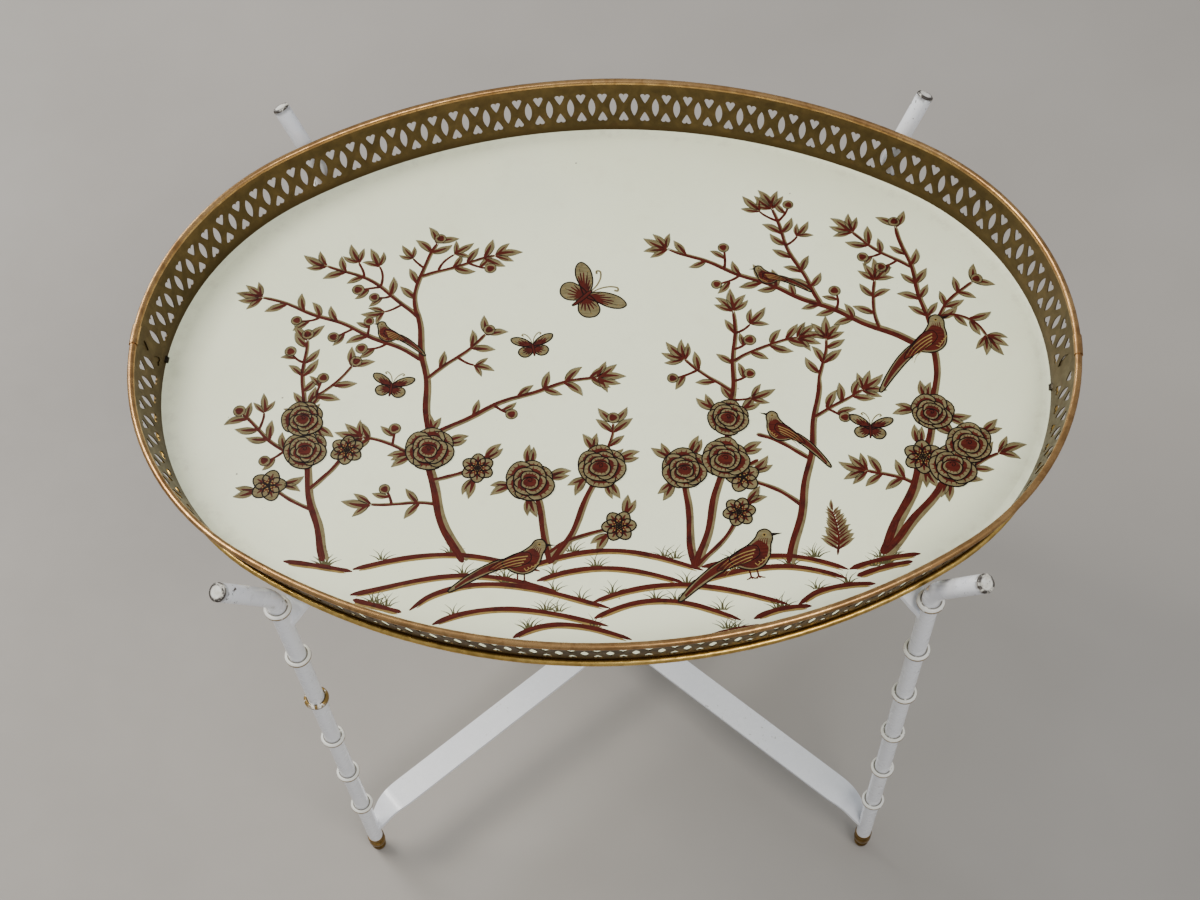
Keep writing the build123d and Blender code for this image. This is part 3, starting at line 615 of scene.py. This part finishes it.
def blossom(p, r, rot=0.0, petals=5):
    base = []
    for k in range(petals):
        a = rot + 2 * math.pi * k / petals
        c = (p[0] + r * 0.54 * math.cos(a), p[1] + r * 0.54 * math.sin(a))
        rr = r * (0.50 if petals == 5 else 0.44)
        ring = []
        for i in range(18):
            t = 2 * math.pi * i / 18
            q = rr * (1 + 0.07 * math.cos(3 * (t - a)))
            ring.append((c[0] + q * math.cos(t), c[1] + q * math.sin(t)))
        BLOOM_BASE.blob(ring)
        ribbon(INK, ring, 0.95, closed=True)
        base.append(c)
        # red-brown brushed from the middle of the flower outward
        for da, ln in ((0.0, 0.82), (0.34, 0.66), (-0.34, 0.66)):
            q0 = (p[0] + r * 0.20 * math.cos(a + da), p[1] + r * 0.20 * math.sin(a + da))
            q1 = (p[0] + r * ln * math.cos(a + da * 0.7), p[1] + r * ln * math.sin(a + da * 0.7))
            ribbon(BLOOM_RED, smooth([q0, q1], 6), lambda t: r * 0.26 * (1 - 0.75 * t))
    disc(BLOOM_LINE, p, r * 0.24, 14)
    disc(INK, p, r * 0.10, 10)
    for k in range(petals * 2):
        a = rot + math.pi * (k + 0.5) / petals
        disc(BLOOM_LINE, (p[0] + r * 0.36 * math.cos(a), p[1] + r * 0.36 * math.sin(a)), r * 0.045, 6)
    taken.append((p[0], p[1], r))


def petal(p, a, dist, size, wide, lift, lobes=2):
    """One rounded petal pointing away from p: olive edge, red-brown heart brushed outward, ink line."""
    def ring(k, back):
        pts = []
        for i in range(20):
            t = 2 * math.pi * i / 20
            x, y = math.cos(t), math.sin(t)
            out = 1 + (0.05 * math.cos(3 * t + lobes) if x > 0 else 0.0)
            x, y = x * size * k * out, y * size * wide * k * out
            x, y = turn((x + dist - back, y), a)
            pts.append((p[0] + x, p[1] + y))
        return pts
    edge = ring(1.0, 0.0)
    BLOOM_BASE.blob(edge, lift)
    BLOOM_RED.blob(ring(0.76, size * 0.16), lift)
    ribbon(INK, edge, 0.85, closed=True, lift=lift)
    for da in (-0.55, -0.18, 0.18, 0.55):
        q0 = turn((dist + size * 0.36, da * size * 0.9), a)
        q1 = turn((dist + size * (0.86 - 0.2 * abs(da)), da * size * 1.3), a)
        ribbon(BLOOM_RED, smooth([(p[0] + q0[0], p[1] + q0[1]), (p[0] + q1[0], p[1] + q1[1])], 4), lambda t: size * 0.20 * (1.05 - t), lift=lift)


def peony(p, r, rot=0.0):
    """A full round flower: three rings of broad petals, each lapped over the last, round a curled heart."""
    disc(BLOOM_RED, p, r * 0.70, 24, 0.02)
    n = 0
    for j, (m, dist, size, wide) in enumerate(((6, 0.54, 0.46, 1.28), (4, 0.31, 0.40, 1.30), (2, 0.13, 0.33, 1.25))):
        for i in range(m):
            a = rot + 0.5 * j + 2 * math.pi * i / m + rng.uniform(-0.16, 0.16)
            petal(p, a, r * dist * rng.uniform(0.90, 1.08), r * size * rng.uniform(0.86, 1.10), wide, 0.066 * n, n)
            n += 1
    disc(BLOOM_RED, p, r * 0.13, 14, 0.06, lift=0.74)
    swirl = [(p[0] + r * 0.012 * s * math.cos(s * 0.72 + rot), p[1] + r * 0.012 * s * math.sin(s * 0.72 + rot)) for s in range(2, 13)]
    ribbon(INK, swirl, 0.55, lift=0.76)
    taken.append((p[0], p[1], r))


def wing(o, pts, rot, flip, shade):
    """A closed wing outline with its patterning."""
    q = [turn((x, y * flip), rot) for x, y in pts]
    ring = smooth([(o[0] + x, o[1] + y) for x, y in q], 6, closed=True)
    BLOOM_BASE.blob(ring)
    ribbon(INK, ring, 0.95, closed=True)
    root = (o[0], o[1])
    tips = [ring[i] for i in range(len(ring) // 5, len(ring) * 4 // 5, 4)]
    for tip in tips:
        e = (root[0] + (tip[0] - root[0]) * shade, root[1] + (tip[1] - root[1]) * shade)
        ribbon(BLOOM_RED, smooth([root, e], 6), lambda t: 2.3 * (1 - 0.6 * t))
    for tip in tips[1::2]:
        e = (root[0] + (tip[0] - root[0]) * 0.84, root[1] + (tip[1] - root[1]) * 0.84)
        disc(BLOOM_LINE, e, 0.55, 8)
        ribbon(INK, smooth([((root[0] + e[0]) / 2, (root[1] + e[1]) / 2), e], 4), 0.32)


def butterfly(o, r, rot):
    """Four wings, a banded body and curled feelers, drawn from above."""
    fore = [(0.02, 0.05), (0.16, 0.46), (0.34, 0.94), (0.62, 1.26), (0.90, 1.28), (0.94, 0.88), (0.72, 0.42), (0.36, 0.08)]
    hind = [(0.14, 0.05), (0.18, 0.44), (0.04, 0.82), (-0.30, 0.94), (-0.64, 0.72), (-0.66, 0.36), (-0.32, 0.05)]
    for flip in (1, -1):
        wing(o, [(x * r * 0.9, y * r) for x, y in hind], rot, flip, 0.70)
        wing(o, [(x * r, y * r) for x, y in fore], rot, flip, 0.70)
    body = [turn((x * r, 0.03 * r * math.sin(4 * x)), rot) for x in (-0.62, -0.35, -0.05, 0.2, 0.36)]
    body = smooth([(o[0] + x, o[1] + y) for x, y in body], 4)
    ribbon(INK, body, lambda t: r * 0.20 * math.sqrt(max(0.02, math.sin(math.pi * (0.05 + 0.9 * t)))))
    ribbon(BLOOM_RED, body[1:-1], lambda t: r * 0.12 * math.sqrt(max(0.02, math.sin(math.pi * (0.05 + 0.9 * t)))), lift=0.06)
    for flip in (1, -1):
        f = [turn((x * r, flip * y * r), rot) for x, y in ((0.34, 0.03), (0.66, 0.10), (0.96, 0.26), (1.14, 0.48), (1.06, 0.60), (0.98, 0.50))]
        ribbon(BLOOM_BASE, smooth([(o[0] + x, o[1] + y) for x, y in f], 4), lambda t: max(0.8, r * 0.065) * (0.7 + 0.5 * t))
    taken.append((o[0], o[1], r * 1.05))


def bird(o, s, rot, flip, stands):
    """A small songbird in profile: feet at o, s the body length, flip -1 faces left."""
    def at(pts):
        out = []
        for x, y in pts:
            x, y = turn((x * s, y * s), rot)
            out.append((o[0] + x * flip, o[1] + y))
        return out
    tail = at([(-0.20, 0.34), (-0.60, 0.14), (-1.02, -0.10), (-1.38, -0.32), (-1.42, -0.25), (-1.10, 0.05), (-0.66, 0.36), (-0.26, 0.52)])
    t = smooth(tail, 4, closed=True)
    BLOOM_BASE.blob(t)
    ribbon(INK, t, 0.95, closed=True)
    for k in (-0.10, 0.0, 0.10):
        ribbon(BLOOM_RED, smooth(at([(-0.26, 0.42 + k * 0.6), (-0.66, 0.24 + k * 0.5), (-1.02, 0.01 + k * 0.3), (-1.30, -0.22 + k * 0.2)]), 5), lambda t: s * 0.072 * (1 - 0.7 * t))
    full = at([(-0.30, 0.44), (-0.12, 0.24), (0.16, 0.15), (0.40, 0.24), (0.54, 0.46), (0.59, 0.66), (0.65, 0.80), (0.64, 0.94),
               (0.54, 1.03), (0.40, 1.00), (0.30, 0.86), (0.14, 0.73), (-0.06, 0.62)])
    b = smooth(full, 5, closed=True)
    BLOOM_BASE.blob(b, 0.03)
    BLOOM_RED.blob(smooth(at([(-0.27, 0.45), (-0.10, 0.28), (0.16, 0.19), (0.38, 0.28), (0.49, 0.47), (0.53, 0.62), (0.47, 0.72),
                              (0.36, 0.80), (0.22, 0.73), (0.10, 0.66), (-0.06, 0.58)]), 4, closed=True), 0.03)
    for k in range(5):
        ribbon(BLOOM_RED, smooth(at([(0.30 + 0.05 * k, 0.66), (0.36 + 0.045 * k, 0.80), (0.42 + 0.035 * k, 0.88 - 0.02 * k)]), 4), lambda t: s * 0.030 * (1.05 - t), lift=0.03)
    ribbon(INK, b, 0.95, closed=True, lift=0.03)
    beak = at([(0.63, 0.93), (0.86, 0.89), (0.645, 0.85)])
    INK.blob(beak, 0.04)
    disc(BLOOM_LINE, at([(0.50, 0.90)])[0], max(0.8, s * 0.042), 10, lift=0.04)
    disc(INK, at([(0.50, 0.90)])[0], max(0.5, s * 0.024), 8, lift=0.05)
    # wing with rows of gold-edged feathers
    w = at([(0.34, 0.52), (0.30, 0.68), (0.10, 0.70), (-0.14, 0.60), (-0.44, 0.40), (-0.58, 0.24), (-0.30, 0.26), (0.06, 0.34), (0.26, 0.42)])
    ws = smooth(w, 4, closed=True)
    BLOOM_RED.blob(ws, 0.05)
    ribbon(INK, ws, 0.55, closed=True, lift=0.05)
    for k in range(4):
        y = 0.60 - 0.075 * k
        ribbon(BLOOM_LINE, smooth(at([(0.26 - 0.04 * k, y), (-0.02, y - 0.05), (-0.30, y - 0.16), (-0.50 + 0.02 * k, y - 0.30)]), 4), lambda t: s * 0.026 * (1.1 - t), lift=0.06)
    for k in range(4):
        x = 0.20 + 0.075 * k
        ribbon(BLOOM_LINE, smooth(at([(x, 0.30 + 0.03 * k), (x + 0.05, 0.24 + 0.05 * k), (x + 0.10, 0.29 + 0.05 * k)]), 3), s * 0.018, lift=0.06)
    if stands:
        for dx in (0.05, 0.20):
            ribbon(STEM_RED, at([(dx, 0.20), (dx + 0.015, 0.10), (dx + 0.02, 0.0)]), max(0.8, s * 0.035))
            for e in (-0.10, 0.03, 0.13):
                ribbon(STEM_RED, at([(dx + 0.02, 0.0), (dx + 0.02 + e * 0.6, -0.035), (dx + 0.02 + e, -0.045)]), lambda t: s * 0.035 * (1 - 0.5 * t))
    for q in (t[len(t) // 2], t[0], b[len(b) // 2], b[2 * len(b) // 3], b[0]):
        taken.append((q[0], q[1], s * 0.22))
    for k in range(6):
        i = k * len(t) // 12
        taken.append((t[i][0], t[i][1], s * 0.08))


def walk(p, heading, length, bend, wob=0.10):
    n = max(4, int(length / 9))
    step, h, ph = length / n, heading - bend / 2, rng.uniform(0, 6.28)
    pts = [p]
    for i in range(n):
        h += bend / n + wob * math.cos(ph + i * 1.15) * 0.9
        p = (p[0] + step * math.cos(h), p[1] + step * math.sin(h))
        pts.append(p)
    return pts


def bough(pts, w0, w1, a=0.03, b=0.05):
    """One painted branch: a red-brown stroke with an olive-gold one beside it."""
    q = smooth(pts, 5)
    side = 1
    w0, w1 = w0 * 1.34, w1 * 1.50
    ribbon(STEM_GOLD, q, taper(w0 * 0.62, w1 * 0.58, a, b, 0.12), shift=lambda t: -side * (w0 + (w1 - w0) * t) * 0.36)
    ribbon(STEM_RED, q, taper(w0 * 0.74, w1 * 0.80, a, b, 0.08), shift=lambda t: side * (w0 + (w1 - w0) * t) * 0.12)
    for i in range(0, len(q), 3):
        taken.append((q[i][0], q[i][1], (w0 + (w1 - w0) * i / len(q)) / 2))
    return q


def best_walk(p, heading, length, bend, free=0.5, tries=26, wob=0.10, margin=0.0):
    """Of several ways a branch could go, the one that keeps clearest of the rest."""
    top, pick = -1e9, None
    for k in range(tries):
        h = heading + (rng.uniform(-free, free) if k else 0.0)
        b = bend + (rng.uniform(-free, free) if k else 0.0)
        pts = walk(p, h, length, b, wob)
        score = 0.0
        worst = 99.0
        for i in range(2, len(pts)):
            x, y = pts[i]
            t = i / (len(pts) - 1)
            c = min(clear(x, y) / (0.35 + 0.65 * t), (room(x, y) - margin) * 1.2, 24.0)
            worst = min(worst, c)
            score += c / len(pts)
        score = score * 0.5 + worst
        if score > top:
            top, pick = score, pts
    return pick, top


def dress(q, start, gap, size=12.8, end="fan", sides=(1, -1), twigs=0.0, k0=0):
    """Leaves in loose pairs along a branch, then its end."""
    s, nxt, side, total = 0.0, start, 1, sum(math.hypot(q[i + 1][0] - q[i][0], q[i + 1][1] - q[i][1]) for i in range(len(q) - 1))
    for i in range(1, len(q)):
        s += math.hypot(q[i][0] - q[i - 1][0], q[i][1] - q[i - 1][1])
        if s < nxt or s > total - 5:
            continue
        nxt = s + gap * rng.uniform(0.8, 1.25)
        a = math.atan2(q[i][1] - q[i - 1][1], q[i][0] - q[i - 1][0])
        for sd in (side, -side) if rng.random() < 0.62 else (side,):
            ang = a + sd * rng.uniform(0.60, 0.95)
            sz = size * rng.uniform(0.82, 1.08)
            if rng.random() < twigs:
                pts, sc = best_walk(q[i], a + sd * 0.9, rng.uniform(12, 20), -sd * 0.4, 0.3, 8)
                tip = pts[-1]
                if room(*tip) > 0 and clear(*tip) > 4:
                    tq = smooth(pts, 3)
                    ribbon(STEM_RED, tq, taper(2.2, 1.6, 0.05, 0.05))
                    th = math.atan2(tq[-1][1] - tq[-2][1], tq[-1][0] - tq[-2][0])
                    if rng.random() < 0.6:
                        bud(tip, rng.uniform(3.9, 4.7))
                        leaf(pts[2], th + 0.8, sz * 0.8)
                    else:
                        fan(tip, th, 3, sz * 0.95, 1.5)
                continue
            ex, ey = q[i][0] + 0.75 * sz * math.cos(ang), q[i][1] + 0.75 * sz * math.sin(ang)
            if room(ex, ey) > -4 and clear(ex, ey) > 1.6:
                leaf(q[i], ang, sz)
        side = -side
    a = math.atan2(q[-1][1] - q[-3][1], q[-1][0] - q[-3][0])
    if end == "fan":
        fan(q[-1], a, 5, size * 1.08, 2.2)
    elif end == "tip":
        fan(q[-1], a, 3, size * 1.10, 1.3)
    elif end == "bud":
        bud((q[-1][0] + 3.5 * math.cos(a), q[-1][1] + 3.5 * math.sin(a)), 4.6)
    elif end == "budleaf":
        leaf(q[-1], a + 0.75, size)
        leaf(q[-1], a - 0.75, size)
        bud((q[-1][0] + 4.5 * math.cos(a), q[-1][1] + 4.5 * math.sin(a)), 4.4)


def part(q, t):
    """Point and heading at a fraction of a branch."""
    i = min(len(q) - 2, max(1, int(t * (len(q) - 1))))
    return q[i], math.atan2(q[i + 1][1] - q[i - 1][1], q[i + 1][0] - q[i - 1][0])


D = math.radians


def plant(base, stems):
    """stems: (parent, t, heading, length, bend, w0, w1, leaves from, gap, end, twigs, free)."""
    made = []
    for par, t, head, length, bd, w0, w1, lf, gap, end, tw, free in stems:
        head, bd = D(head), D(bd)
        if par is None:
            p = base
        else:
            p, h0 = part(made[par], t)
            d = (head - h0 + math.pi) % (2 * math.pi) - math.pi
            if t >= 0.96:
                p, head, bd = made[par][-1], h0 + d * 0.5, d
            else:
                bd += d * 0.45
        pts, _ = best_walk(p, head, length, bd, free, wob=0.13)
        if par is not None and t >= 0.96:
            pts = [made[par][-6]] + list(pts)
        q = bough(pts, w0, w1)
        made.append(q)
    for q, st in zip(made, stems):
        if st[8]:
            dress(q, st[7], st[8] * 1.06, 13.6, st[9], twigs=st[10])
        elif st[9]:
            a = part(q, 0.97)[1]
            if st[9] == "fan":
                fan(q[-1], a, 5, 13.5, 2.2)
    return made


def flower_group(kind, p, r):
    """A flower with leaves showing from behind it."""
    r = r * (1.10 if kind == "peony" else 1.06)
    n = 4 if kind == "peony" else 2
    a0 = rng.uniform(0, 6.28)
    for k in range(n):
        a = a0 + k * 2 * math.pi / n + rng.uniform(-0.3, 0.3)
        q = (p[0] + r * 0.75 * math.cos(a), p[1] + r * 0.75 * math.sin(a))
        e = (p[0] + (r + 8) * math.cos(a), p[1] + (r + 8) * math.sin(a))
        if clear(*e) > 1.5 and room(*e) > 0:
            leaf(q, a + 0.18, 13.5, 0.42)
            leaf(q, a - 0.30, 12.0, 0.40)
    if kind == "peony":
        peony(p, r, rng.uniform(0, 0.7))
    else:
        blossom(p, r, rng.uniform(0, 1.2), 5 if rng.random() < 0.6 else 6)


# ground: overlapping hills in rows, each a tapered red-brown stroke over a gold one
hills, front = [], []
rows = [(-216, 3, 112, 15.0, -160), (-203, 4, 124, 17.0, -214), (-188, 4, 140, 17.0, -258), (-173, 5, 128, 15.0, -290),
        (-159, 5, 132, 13.5, -292)]
for y0, count, span, rise, x0 in rows:
    for k in range(count):
        gap = (-2 * x0 - span) / (count - 1)
        xa = x0 + k * gap + rng.uniform(-12, 12)
        sp = span * rng.uniform(0.86, 1.10)
        up = rise * rng.uniform(0.8, 1.25)
        y = y0 + rng.uniform(-2.5, 2.5)
        peak = rng.uniform(0.36, 0.62)
        pts = []
        for i in range(25):
            t = i / 24
            hgt = up * math.sin(math.pi * t ** (math.log(0.5) / math.log(peak)))
            pts.append((xa + sp * t, y + hgt))
        run = []
        for q in pts + [None]:
            ok = q is not None and (q[0] / 302) ** 2 + (q[1] / 214) ** 2 < 1.0
            if ok:
                for other in front:
                    if other[0][0] < q[0] < other[-1][0]:
                        u = (q[0] - other[0][0]) / (other[-1][0] - other[0][0]) * 24
                        n = min(23, int(u))
                        top = other[n][1] + (other[n + 1][1] - other[n][1]) * (u - n)
                        if q[1] < top + 0.6:
                            ok = False
            if ok:
                run.append(q)
            elif run:
                if len(run) > 6:
                    hills.append(run)
                    q2 = smooth(run[::2] if len(run) > 8 else run, 3)
                    ribbon(STEM_RED, q2, taper(3.5, 2.8, 0.05, 0.07, 0.08))
                    ribbon(HILL_GOLD, q2[1:-1], taper(2.4, 1.9, 0.08, 0.12, 0.1), shift=-2.0)
                run = []
        front.append(pts)

plants = []
# small shrub on the left
A = plant((-186, -150), [
    (None, 0, 112, 92, -14, 4.6, 2.8, 0, 0, "", 0, 0.10),
    (0, 0.62, 62, 40, 22, 2.6, 1.8, 0, 0, "", 0, 0.15),
    (0, 0.98, 96, 92, 18, 3.0, 1.6, 22, 12, "budleaf", 0.30, 0.22),
    (0, 0.85, 140, 66, -22, 2.4, 1.5, 20, 12, "bud", 0.30, 0.25),
    (2, 0.45, 66, 46, 10, 1.9, 1.3, 10, 12, "budleaf", 0.2, 0.3),
    (0, 0.45, 152, 38, -16, 2.0, 1.6, 0, 0, "", 0, 0.2),
])
# tall tree, left of the middle
B = plant((-92, -152), [
    (None, 0, 102, 98, -30, 4.8, 3.6, 0, 0, "", 0, 0.05),
    (0, 0.98, 96, 118, 0, 3.9, 2.6, 0, 0, "", 0, 0.05),
    (1, 0.98, 66, 62, -24, 2.7, 1.7, 16, 12, "budleaf", 0.15, 0.12),
    (1, 0.64, 154, 136, -16, 2.9, 1.5, 30, 12.5, "fan", 0.32, 0.12),
    (1, 0.93, 138, 88, 16, 2.5, 1.4, 16, 12.5, "tip", 0.3, 0.15),
    (2, 0.55, 24, 58, 10, 2.2, 1.4, 12, 12, "tip", 0.25, 0.2),
    (1, 0.12, 30, 128, 4, 3.2, 1.6, 34, 14, "fan", 0.32, 0.14),
    (1, 0.50, 52, 56, 18, 2.3, 1.5, 12, 12, "budleaf", 0.2, 0.2),
    (0, 0.86, 168, 52, -12, 2.0, 1.5, 16, 13, "fan", 0.2, 0.22),
    (0, 0.50, 172, 46, -24, 1.8, 1.3, 12, 13, "tip", 0.2, 0.22),
    (0, 0.70, 26, 32, 18, 2.2, 1.8, 0, 0, "", 0, 0.2),
])
# low shrub beside it
C = plant((-34, -154), [
    (None, 0, 102, 66, 10, 3.9, 2.6, 0, 0, "", 0, 0.10),
    (None, 0, 76, 84, 12, 3.6, 2.4, 0, 0, "", 0, 0.10),
    (0, 0.12, 40, 52, -12, 2.5, 1.8, 0, 0, "", 0, 0.12),
    (1, 0.98, 96, 34, 10, 1.7, 1.2, 14, 11, "budleaf", 0, 0.2),
])
# flowering tree in the middle
E = plant((62, -158), [
    (None, 0, 98, 76, -8, 3.9, 2.6, 0, 0, "", 0, 0.06),
    (None, 0, 84, 104, 6, 4.0, 3.0, 0, 0, "", 0, 0.05),
    (None, 0, 64, 52, 22, 2.6, 1.8, 0, 0, "", 0, 0.10),
    (1, 0.99, 92, 108, -10, 3.4, 1.7, 40, 14, "fan", 0.22, 0.10),
    (3, 0.40, 140, 44, -22, 2.0, 1.4, 14, 12, "fan", 0.2, 0.2),
    (3, 0.62, 38, 52, -30, 2.1, 1.4, 14, 12, "fan", 0.2, 0.25),
    (1, 0.72, 38, 28, 20, 2.4, 2.0, 0, 0, "", 0, 0.2),
])
# slim tree with a perch
F = plant((124, -156), [
    (None, 0, 86, 150, 8, 4.4, 2.2, 0, 0, "", 0, 0.05),
    (0, 0.55, 158, 42, -20, 2.4, 1.8, 0, 0, "", 0, 0.1),
    (0, 0.97, 104, 34, -14, 2.0, 1.4, 12, 11, "fan", 0.0, 0.2),
    (0, 0.78, 48, 42, 18, 2.0, 1.4, 12, 11, "fan", 0.25, 0.2),
    (0, 0.30, 140, 46, -18, 2.4, 1.7, 0, 0, "", 0, 0.12),
])
# the tree on the right and the long boughs above it
G = plant((186, -150), [
    (None, 0, 60, 84, 10, 5.6, 4.0, 0, 0, "", 0, 0.05),
    (None, 0, 46, 108, 12, 5.0, 3.0, 0, 0, "", 0, 0.05),
    (0, 0.97, 84, 98, 24, 3.8, 2.8, 0, 0, "", 0, 0.05),
    (2, 0.97, 92, 104, -8, 3.0, 1.8, 30, 13, "budleaf", 0.25, 0.08),
    (2, 0.90, 160, 212, -24, 4.2, 1.6, 62, 13.5, "fan", 0.34, 0.06),
    (4, 0.42, 124, 96, 6, 2.6, 1.5, 16, 12, "fan", 0.3, 0.15),
    (3, 0.66, 132, 54, -20, 2.1, 1.5, 12, 12, "fan", 0.2, 0.2),
    (3, 0.12, 40, 58, -14, 2.4, 1.5, 14, 12, "budleaf", 0.3, 0.22),
    (7, 0.30, -6, 40, -30, 1.9, 1.4, 10, 12, "fan", 0.2, 0.3),
    (4, 0.20, 108, 44, -20, 2.0, 1.5, 12, 12, "fan", 0.2, 0.2),
    (1, 0.62, 20, 50, 14, 2.0, 1.4, 14, 12, "tip", 0.2, 0.2),
    (0, 0.72, 140, 34, -20, 2.0, 1.5, 8, 12, "fan", 0, 0.2),
])

for kind, q, r in (("peony", part(A[0], 0.99)[0], 14.0), ("peony", part(A[2], 0.34)[0], 13.5), ("blossom", A[1][-1], 11.0),
                   ("blossom", A[5][-1], 11.0),
                   ("peony", part(B[0], 0.97)[0], 15.5), ("blossom", B[10][-1], 10.8),
                   ("peony", C[0][-1], 15.5), ("peony", part(C[1], 0.98)[0], 15.5), ("blossom", C[2][-1], 11.0),
                   ("peony", E[0][-1], 15.0), ("peony", part(E[1], 0.84)[0], 14.5), ("peony", part(E[3], 0.22)[0], 13.5), ("blossom", E[2][-1], 10.5),
                   ("blossom", F[4][-1], 10.5),
                   ("peony", part(G[1], 0.80)[0], 15.5), ("peony", G[1][-1], 15.0), ("blossom", part(G[0], 0.99)[0], 12.5), ("peony", part(G[2], 0.42)[0], 13.5)):
    flower_group(kind, q, r)

# birds: two standing on the hills, the rest perched
bird((-58, -166), 30.0, D(-2), 1, True)
bird((96, -166), 33.0, D(8), 1, True)
p, a = part(F[1], 0.58)
bird((p[0], p[1] - 2.5), 25.0, D(16), -1, False)
p, a = part(G[2], 0.86)
bird((p[0] - 1, p[1] - 1.5), 33.0, D(22), 1, False)
p, a = part(B[3], 0.22)
bird((p[0], p[1] - 1.0), 19.0, D(8), -1, False)
p, a = part(G[4], 0.60)
bird((p[0], p[1] - 1.0), 19.0, D(-2), -1, False)

# butterflies where the field is most open
for lo, hi, r, rot in (((-40, 20), (40, 110), 20.0, 0.7), ((-190, -50), (-110, 40), 11.5, 1.4), ((-50, -60), (30, 20), 11.5, 1.7), ((135, -95), (185, -10), 11.5, 1.45)):
    best = (-99, None)
    for i in range(13):
        for j in range(13):
            x = lo[0] + (hi[0] - lo[0]) * i / 12
            y = lo[1] + (hi[1] - lo[1]) * j / 12
            c = clear(x, y)
            if c > best[0]:
                best = (c, (x, y))
    butterfly(best[1], min(r, best[0] + 3.0), rot)

# a fern and tufts of grass along the hills
def fern(p, h):
    q = smooth([p, (p[0] + 1.5, p[1] + h * 0.35), (p[0] + 0.5, p[1] + h * 0.7), (p[0] - 1.5, p[1] + h)], 5)
    ribbon(STEM_RED, q, taper(1.6, 0.8, 0.05, 0.1))
    for k in range(2, len(q) - 1):
        t = k / len(q)
        for sd in (1, -1):
            leaf(q[k], D(90) + sd * D(52 - 12 * t), 11.0 * (1.15 - 0.75 * t), 0.30, mark=False)
    leaf(q[-1], D(96), 7.0, 0.34, mark=False)


fern((156, -150), 34)
for h in hills:
    for k in range(rng.choice((2, 2, 3, 3))):
        i = rng.randrange(2, len(h) - 2)
        x, y = h[i][0] + rng.uniform(-4, 4), h[i][1] + 1.2
        n = rng.choice((5, 5, 6, 7))
        for j in range(n):
            a = D(90) + D(62) * (j / (n - 1) - 0.5) * -2 * 0.9
            ln = rng.uniform(8.5, 12.5) * (1 - 0.25 * abs(2 * j / (n - 1) - 1))
            c = 0.35 * (1 if math.cos(a) > 0 else -1)
            bx = x + (j - (n - 1) / 2) * 0.9
            pts = [(bx, y), (bx + ln * 0.5 * math.cos(a + c * 0.5), y + ln * 0.5 * math.sin(a)),
                   (bx + ln * math.cos(a - c * 0.3), y + ln * math.sin(a - c * 0.2) * 0.95)]
            ribbon(GRASS, smooth(pts, 4), lambda t: 1.15 * (1.05 - t))

for layer in LAYERS:
    layer.build()

# --------------------------------------------------------------------------
# floor, light, camera
# --------------------------------------------------------------------------

fm = Mat("studio_floor", Specular_IOR_Level=0.25)
fc = fm.ramp(fm.noise(3, 3), [(0.3, lin(160, 154, 146)), (0.7, lin(168, 162, 154))])
fm.out(fc, fm.band(fm.noise(40, 2), 0.3, 0.7, 0.62, 0.72))
fme = bpy.data.meshes.new("studio_floor")
N = 24
verts = [((i / N - 0.5) * 14.0, (j / N - 0.5) * 14.0, -0.0004) for j in range(N + 1) for i in range(N + 1)]
faces = [(j * (N + 1) + i, j * (N + 1) + i + 1, (j + 1) * (N + 1) + i + 1, (j + 1) * (N + 1) + i) for j in range(N) for i in range(N)]
fme.from_pydata(verts, [], faces)
fme.materials.append(fm.m)
floor = bpy.data.objects.new("studio_floor", fme)
bpy.context.scene.collection.objects.link(floor)

world = bpy.data.worlds.new("studio")
bpy.context.scene.world = world
world.use_nodes = True
bg = world.node_tree.nodes["Background"]
bg.inputs["Color"].default_value = (0.86, 0.91, 1.0, 1.0)
bg.inputs["Strength"].default_value = 0.55


def area(name, at, aim, size, power, color, size_y=None):
    d = bpy.data.lights.new(name, "AREA")
    d.shape = "RECTANGLE"
    d.size, d.size_y = size, size_y or size
    d.energy = power
    d.color = color
    o = bpy.data.objects.new(name, d)
    bpy.context.scene.collection.objects.link(o)
    o.location = at
    o.rotation_euler = (Vector(aim) - Vector(at)).to_track_quat("-Z", "Y").to_euler()
    return o


area("ceiling_left", (-1.5, 0.5, 2.5), (0, 0, 0.4), 1.3, 50, (1.0, 0.97, 0.92), 0.9)
area("ceiling_front", (0.9, -1.3, 2.6), (0, 0, 0.4), 1.0, 30, (1.0, 0.98, 0.95), 0.8)
area("window_back_left", (-2.2, 1.9, 1.5), (0, 0, 0.4), 1.4, 34, (0.92, 0.96, 1.0), 0.8)

cam = bpy.data.cameras.new("photo_camera")
cam.sensor_width = 36.0
cam.sensor_fit = "HORIZONTAL"
cam.lens = 1738.42 * 36.0 / 1200.0
cam.clip_start = 0.05
cam.clip_end = 50.0
co = bpy.data.objects.new("photo_camera", cam)
bpy.context.scene.collection.objects.link(co)
right = Vector((0.99946107, 0.00391483, -0.03259195)).normalized()
back = -Vector((-0.02988472, 0.51930926, -0.85406369)).normalized()
up = back.cross(right).normalized()
right = up.cross(back).normalized()
co.matrix_world = Matrix.Translation((0.0340486, -0.6887084, 1.5123174)) @ Matrix(
    (right, up, back)).transposed().to_4x4()
bpy.context.scene.camera = co
